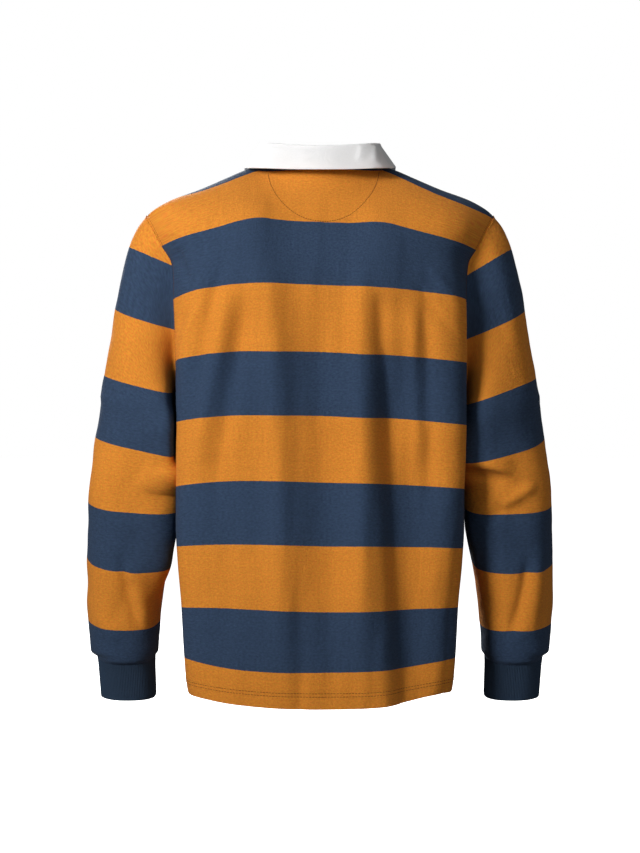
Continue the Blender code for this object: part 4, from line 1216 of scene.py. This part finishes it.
def addCollar():
    last = collarRows["turn"][-1]
    turns = np.linspace(-last, last, collar["stations"] + 1)
    angle = np.radians(turns)
    across = neck["halfWidth"] * np.sin(angle)
    behind = np.abs(turns) <= 90
    seam = np.zeros((len(turns), 3))
    for side, chosen in (("back", behind), ("front", ~behind)):
        depth, height = topEdge(side, across[chosen] * 0.99999)
        seam[chosen] = np.stack((across[chosen], facing[side] * depth, height), axis=-1)
    meanDepth = (neck["backDepth"] + neck["frontDepth"]) / 2
    out = unit(np.stack((np.sin(angle) / neck["halfWidth"], np.cos(angle) / meanDepth, angle * 0), axis=-1))
    sideWay = np.stack((out[:, 1], -out[:, 0], out[:, 2]), axis=-1) * -np.sign(turns)[:, None]
    up = np.array((0.0, 0.0, 1.0))
    stand, lean, edgeOut, edgeDown, edgeSide = (
        curve(collarRows, "turn", name)(np.abs(turns))[:, None] for name in collarRows if name != "turn")
    foot = seam + up * body["wall"]
    topIn = foot + up * (stand - collar["crown"]) + out * lean
    topOut = topIn + out * collar["roll"]
    edge = seam + out * edgeOut - up * edgeDown + sideWay * edgeSide
    # Behind, the folded collar lies flatter than the round neck seam
    fromMiddle = (np.abs(turns) - collar["squarerAt"]) / collar["squarerHalf"]
    squarer = collar["squarer"] * np.exp(-fromMiddle ** 2)[:, None]
    push = squarer * np.array((0.0, 1.0, 0.0)) + out * squarer * collar["squarerOut"]
    topIn = topIn + push * collar["squarerIn"]
    topOut = topOut + push * collar["squarerRoll"]
    edge = edge + push
    rows = [foot + (topIn - foot) * share for share in np.linspace(0, 1, collar["standRows"] + 1)]
    for turn in np.linspace(0, math.pi, collar["rollRows"] + 1)[1:]:
        over = out * (1 - math.cos(turn)) * collar["roll"] / 2 + up * math.sin(turn) * collar["crown"]
        rows.append(topIn + over)
    rows += [topOut + (edge - topOut) * share for share in np.linspace(0, 1, collar["fallRows"] + 1)[1:]]
    grid = np.array(rows)
    back, front = slice(-collar["backRows"], None), slice(-collar["frontRows"], None)
    cloth = np.concatenate((backGrid[back].reshape(-1, 3), frontGrid[front].reshape(-1, 3)))
    outwards = np.concatenate((backNormals[back].reshape(-1, 3), frontNormals[front].reshape(-1, 3)))
    near = np.abs(cloth[:, 0]) < collar["reach"]
    room = body["wall"] / 2 + collar["wall"] / 2 + collar["lay"]
    for row in range(collar["standRows"] + collar["rollRows"], len(grid)):
        grid[row] = pushedOut(grid[row], cloth[near], outwards[near], room)
    upShare = (np.arange(len(grid)) / (len(grid) - 1))[:, None] * np.ones(len(turns))
    creases = foldRelief(collarFolds, np.broadcast_to(turns / 100, upShare.shape), upShare)
    grid = grid + gridNormals(grid, False) * creases[..., None]
    first = collar["standRows"]
    for _ in range(collar["eveningPasses"]):
        inside = grid[first:-1]
        inside += collar["evening"] * ((grid[first - 1:-2] + grid[first + 1:]) / 2 - inside)
    normals = gridNormals(grid, False)
    run = upTheGrid(grid)
    places = clothPlaces(runAlong(seam), run[:, None])
    half = foldedWall(run[-1] - run, collar["wall"])
    piece = wallPiece("collarTwill", grid, normals, half, half, twillCloth, places)
    stands("collar")
    return grid, normals


collarGrid, collarNormals = addCollar()
print("collar made")


def onPanel(side, across, levels):
    return panelPoints(side, across / sideX(levels), across, levels)


def stripOnFront(half, levels, offset, columns):
    grid = onPanel("front", np.linspace(-half, half, columns), levels[:, None])
    normals = gridNormals(grid, False)
    return grid + normals * offset, normals


def addPlacket(name, node, half, foot, offset):
    rest = np.linspace(foot + 0.001, placket["top"], placket["rows"])
    levels = np.concatenate(((foot, foot + 0.0003), rest))
    grid, normals = stripOnFront(half, levels, offset, placket["columns"])
    wall = foldedWall(levels - foot, placket["wall"])
    across = np.linspace(-half, half, placket["columns"])
    cloth = clothPlaces(across, levels[:, None])
    piece = wallPiece(name, grid, normals, wall, wall, twillCloth, cloth)
    stands(node)
    return grid, normals


addPlacket(
    "placketUnder", "placket_under", placket["halfWidth"] - placket["underNarrower"],
    placket["foot"] + placket["underShorter"], -placket["wall"] / 2)
overOffset = body["wall"] / 2 + placket["lay"] + placket["wall"] / 2
overGrid, overNormals = addPlacket(
    "placketOver", "placket_over", placket["halfWidth"] + placket["overWider"],
    placket["foot"] - placket["overLonger"], overOffset)


button = {
    "radius": 0.0060,
    "thickness": 0.0026,
    "lay": 0.0002,
    "sides": 40,
    "face": 0.70,  # height of the sunk face in thicknesses
    "holeAt": 0.0016,
    "threadRadius": 0.0005,
    "threadShare": 0.98,
}
# From the rim's foot to the middle of the face: size in radii and height in thicknesses
buttonProfile = (
    (0.86, 0.0), (0.96, 0.12), (1.0, 0.35), (1.0, 0.70), (0.97, 0.90), (0.91, 1.0),
    (0.84, 0.98), (0.78, 0.86), (0.72, 0.74), (0.60, 0.70), (0.48, 0.69), (0.05, 0.68),
)


def addButton(number, level):
    offset = overOffset + placket["wall"] / 2 + button["lay"]
    levels = level + np.array((-1, 0, 1)) * button["radius"]
    grid, normals = stripOnFront(button["radius"], levels, offset, 3)
    seat, axis = grid[1, 1], normals[1, 1]
    side = np.array((1.0, 0.0, 0.0))
    up = np.cross(axis, side)
    radius, thick = button["radius"], button["thickness"]
    turns = np.arange(button["sides"]) * 2 * math.pi / button["sides"]
    points = []
    for size, high in buttonProfile:
        for turn in turns:
            spoke = math.cos(turn) * side + math.sin(turn) * up
            points.append(seat + axis * high * thick + spoke * radius * size)
    # These rings run the other way round
    faces = [face[:1] + face[:0:-1] for face in ringFaces(0, len(buttonProfile), button["sides"])]
    mesh = bpy.data.meshes.new(f"button{number}")
    mesh.from_pydata([tuple(point) for point in points], [], faces)
    piece = dressed(f"button{number}", mesh, rubber)
    stands(f"button_{number}")
    face = seat + axis * thick * button["face"]
    corners = [face + (side * a + up * b) * button["holeAt"] for a, b in ((1, 1), (-1, 1), (-1, -1), (1, -1))]
    paths = []
    for a, b in ((0, 3), (1, 2)):
        line = np.linspace(corners[a], corners[b], 5)
        paths.append((line, np.tile(axis, (5, 1))))
    length = 2 * button["holeAt"] * button["threadShare"] - stitch["gap"]
    sew(f"buttonThread{number}", paths, whiteThread,
        length=length, radius=button["threadRadius"])


for number, level in enumerate(placket["buttonLevels"], 1):
    addButton(number, level)


patch = {
    "halfWidth": 0.0765,
    "centre": -0.005,
    "top": -0.003,
    "foot": -0.088,
    "end": 0.97,  # share of the half width where its side is cut
    "wall": 0.0010,
    "under": 0.0012,
    "columns": 81,
    "rows": 41,
    "hoop": 2.5,  # within an orange one
}


def addNeckPatch():
    across = np.linspace(-patch["end"], patch["end"], patch["columns"])
    foot = patch["foot"] * np.sqrt(1 - across ** 2)
    levels = foot + (patch["top"] - foot) * np.linspace(0, 1, patch["rows"])[:, None]
    place = across * patch["halfWidth"] + patch["centre"]
    grid = onPanel("back", place, levels)[:, ::-1]
    normals = gridNormals(grid, False)
    grid = grid - normals * (body["wall"] / 2 + patch["under"])
    cloth = clothPlaces(place[::-1], levels[:, ::-1])
    hoop = np.full(levels.shape, patch["hoop"])
    half = patch["wall"] / 2
    piece = wallPiece("neckPatch", grid, normals, half, half, jerseyCloth, cloth, hoop)
    stands("neck_patch")


addNeckPatch()
print("placket, buttons and neck patch made")


# Columns of a grid at a distance in from its first or last column, row by row
def inFromSide(grid, distance, last):
    ordered = grid[:, ::-1] if last else grid
    columns = []
    for row in ordered:
        columns.append(rowAt(runAlong(row[:seams["nearColumns"]]), distance))
    columns = np.array(columns)
    return grid.shape[1] - 1 - columns if last else columns


def sewHem():
    paths = []
    for above in seams["hemRows"]:
        for grid, normals, levels in panels:
            row = rowAt(levels, body["hem"] + above)
            paths.append(onGrid(grid, normals, row, np.arange(grid.shape[1]), body["wall"] / 2))
    sew("hemStitches", paths, brownThreadAndSeamShade, length=seams["hemStitch"])


def sewArmholes():
    paths = []
    for grid, normals, levels in panels:
        free = seams["freeRows"]
        rows = np.arange(int(rowAt(levels, body["underarm"])) + free, len(levels) - free)
        for last in (False, True):
            columns = inFromSide(grid[rows], seams["topstitch"], last)
            paths.append(onGrid(grid, normals, rows, columns, body["wall"] / 2))
    sew("armholeStitches", paths, brownThreadAndSeamShade,
        length=seams["armholeStitch"], radius=seams["armholeThread"])


def sewCuffSeams():
    for name, (grid, normals) in (("Left", leftSleeve), ("Right", rightSleeve)):
        row = rowAt(upTheGrid(grid), seams["aboveCuff"])
        paths = [onGrid(grid, normals, row, np.arange(grid.shape[1]), body["wall"] / 2)]
        sew("cuffStitches" + name, paths, navyThread, length=seams["cuffStitch"])


def sewHalfMoon():
    moon = np.linspace(-1, 1, seams["moonPoints"])
    across = patch["halfWidth"] * moon + patch["centre"]
    levels = patch["foot"] * np.sqrt(1 - moon ** 2)
    line = onPanel("back", across, levels)
    flat = backGrid.reshape(-1, 3)
    nearest = [((flat - point) ** 2).sum(axis=1).argmin() for point in line]
    normals = backNormals.reshape(-1, 3)[nearest]
    height = np.einsum("ij,ij->i", flat[nearest] - line, normals) + body["wall"] / 2
    path = (line + normals * height[:, None], normals)
    sew("halfMoonStitches", [path], brownThreadAndSeamShade,
        length=seams["moonStitch"], radius=seams["moonThread"])


def sewCollar():
    grid, normals = collarGrid, collarNormals
    run = upTheGrid(grid)
    row = rowAt(run, run[-1] - seams["collarEdge"])
    ends = (2, grid.shape[1] - 3)
    columns = np.linspace(*ends, grid.shape[1])
    paths = [onGrid(grid, normals, row, columns, collar["wall"] / 2)]
    rows = np.linspace(collar["standRows"] + collar["rollRows"], row, 30)
    for column in ends:
        paths.append(onGrid(grid, normals, rows, column, collar["wall"] / 2))
    sew("collarStitches", paths, whiteThread,
        length=seams["whiteStitch"], radius=seams["whiteThread"])


def sewPlacket():
    grid, normals = overGrid, overNormals
    rows, columns = np.arange(4, grid.shape[0] - 2), grid.shape[1] - 1
    lift = placket["wall"] / 2
    sides = (seams["placketIn"], columns - seams["placketIn"])
    paths = [onGrid(grid, normals, rows, column, lift) for column in sides]
    levels = grid[:, columns // 2, 2]
    for above in seams["placketFoot"]:
        row = rowAt(levels, levels[0] + above)
        paths.append(onGrid(grid, normals, row, np.linspace(*sides, 12), lift))
    sew("placketStitches", paths, whiteThread,
        length=seams["whiteStitch"], radius=seams["whiteThread"])
    holes = []
    half = seams["buttonholeHalf"]
    for level in placket["buttonLevels"]:
        middle = rowAt(levels, panelPoints("front", 0.0, 0.0, level)[2])
        perRow = levels[20] - levels[19]
        for side in (-1, 1):
            rows = middle + np.linspace(-half, half, 10) / perRow
            path, out = onGrid(grid, normals, rows, columns / 2, lift)
            holes.append((path + np.array((seams["buttonholeSide"] * side, 0.0, 0.0)), out))
    sew("buttonholeStitches", holes, whiteThread,
        length=seams["buttonholeStitch"], radius=seams["buttonholeThread"])


sewHem()
sewArmholes()
sewCuffSeams()
sewHalfMoon()
sewCollar()
sewPlacket()
print("sewing made")


studio = {
    "distance": 2.48,
    "height": -0.367,
    "lens": 75.0,
    "sensor": 36.0,
    "floor": -0.96,
    "floorReach": 30.0,
    "floorColour": (0.95, 0.95, 0.95),
    "key": {"at": (1.66, 1.96, 0.50), "aim": (0.0, 0.0, -0.10), "size": 0.8, "power": 14.8, "spread": 75},
    "fill": {"at": (-1.2, 2.8, 0.5), "aim": (0.0, 0.0, -0.4), "size": 2.4, "power": 19.0, "spread": 180},
    "front": {"at": (0.90, -2.40, 0.90), "aim": (0.0, 0.0, -0.4), "size": 0.9, "power": 100.0, "spread": 180},
    "ambient": 0.12,
}


def addCamera():
    data = bpy.data.cameras.new("photoCamera")
    data.sensor_fit = "VERTICAL"
    data.sensor_height = studio["sensor"]
    data.lens = studio["lens"]
    camera = inScene("photoCamera", data)
    camera.location = (0.0, studio["distance"], studio["height"])
    camera.rotation_euler = (math.pi / 2, 0.0, math.pi)
    bpy.context.scene.camera = camera


def addLight(name, settings):
    data = bpy.data.lights.new(name, "AREA")
    data.shape = "DISK"
    data.size = settings["size"]
    data.energy = settings["power"]
    data.spread = math.radians(settings["spread"])
    light = inScene(name, data)
    light.location = settings["at"]
    aim = Vector(settings["aim"]) - light.location
    light.rotation_euler = aim.to_track_quat("-Z", "Y").to_euler()


def addFloor():
    mesh = bpy.data.meshes.new("studioFloor")
    reach = studio["floorReach"]
    corners = ((-reach, -reach), (reach, -reach), (reach, reach), (-reach, reach))
    mesh.from_pydata([(x, y, studio["floor"]) for x, y in corners], [], [(0, 1, 2, 3)])
    nodes = Nodes("studio_floor")
    nodes.shader.inputs["Base Color"].default_value = (*studio["floorColour"], 1.0)
    nodes.shader.inputs["Roughness"].default_value = 0.9
    nodes.shader.inputs["Emission Color"].default_value = white
    nodes.shader.inputs["Emission Strength"].default_value = 1.0
    mesh.materials.append(nodes.material)
    floor = inScene("studioFloor", mesh)
    floor.visible_diffuse = False  # it doesn't light the cloth from below
    floor.visible_glossy = False


# White to the camera, and dimmer as a light
def addWorld():
    world = bpy.data.worlds.new("studioWorld")
    world.use_nodes = True
    tree = world.node_tree
    background = tree.nodes["Background"]
    background.inputs["Color"].default_value = white
    path = tree.nodes.new("ShaderNodeLightPath")
    strength = tree.nodes.new("ShaderNodeMix")
    strength.inputs["A"].default_value = studio["ambient"]
    strength.inputs["B"].default_value = 1.0
    tree.links.new(path.outputs["Is Camera Ray"], strength.inputs["Factor"])
    tree.links.new(strength.outputs["Result"], background.inputs["Strength"])
    bpy.context.scene.world = world


addCamera()
for name in ("key", "fill", "front"):
    addLight(name + "Light", studio[name])
addFloor()
addWorld()
bpy.context.scene.view_settings.view_transform = "Standard"
print("studio made")
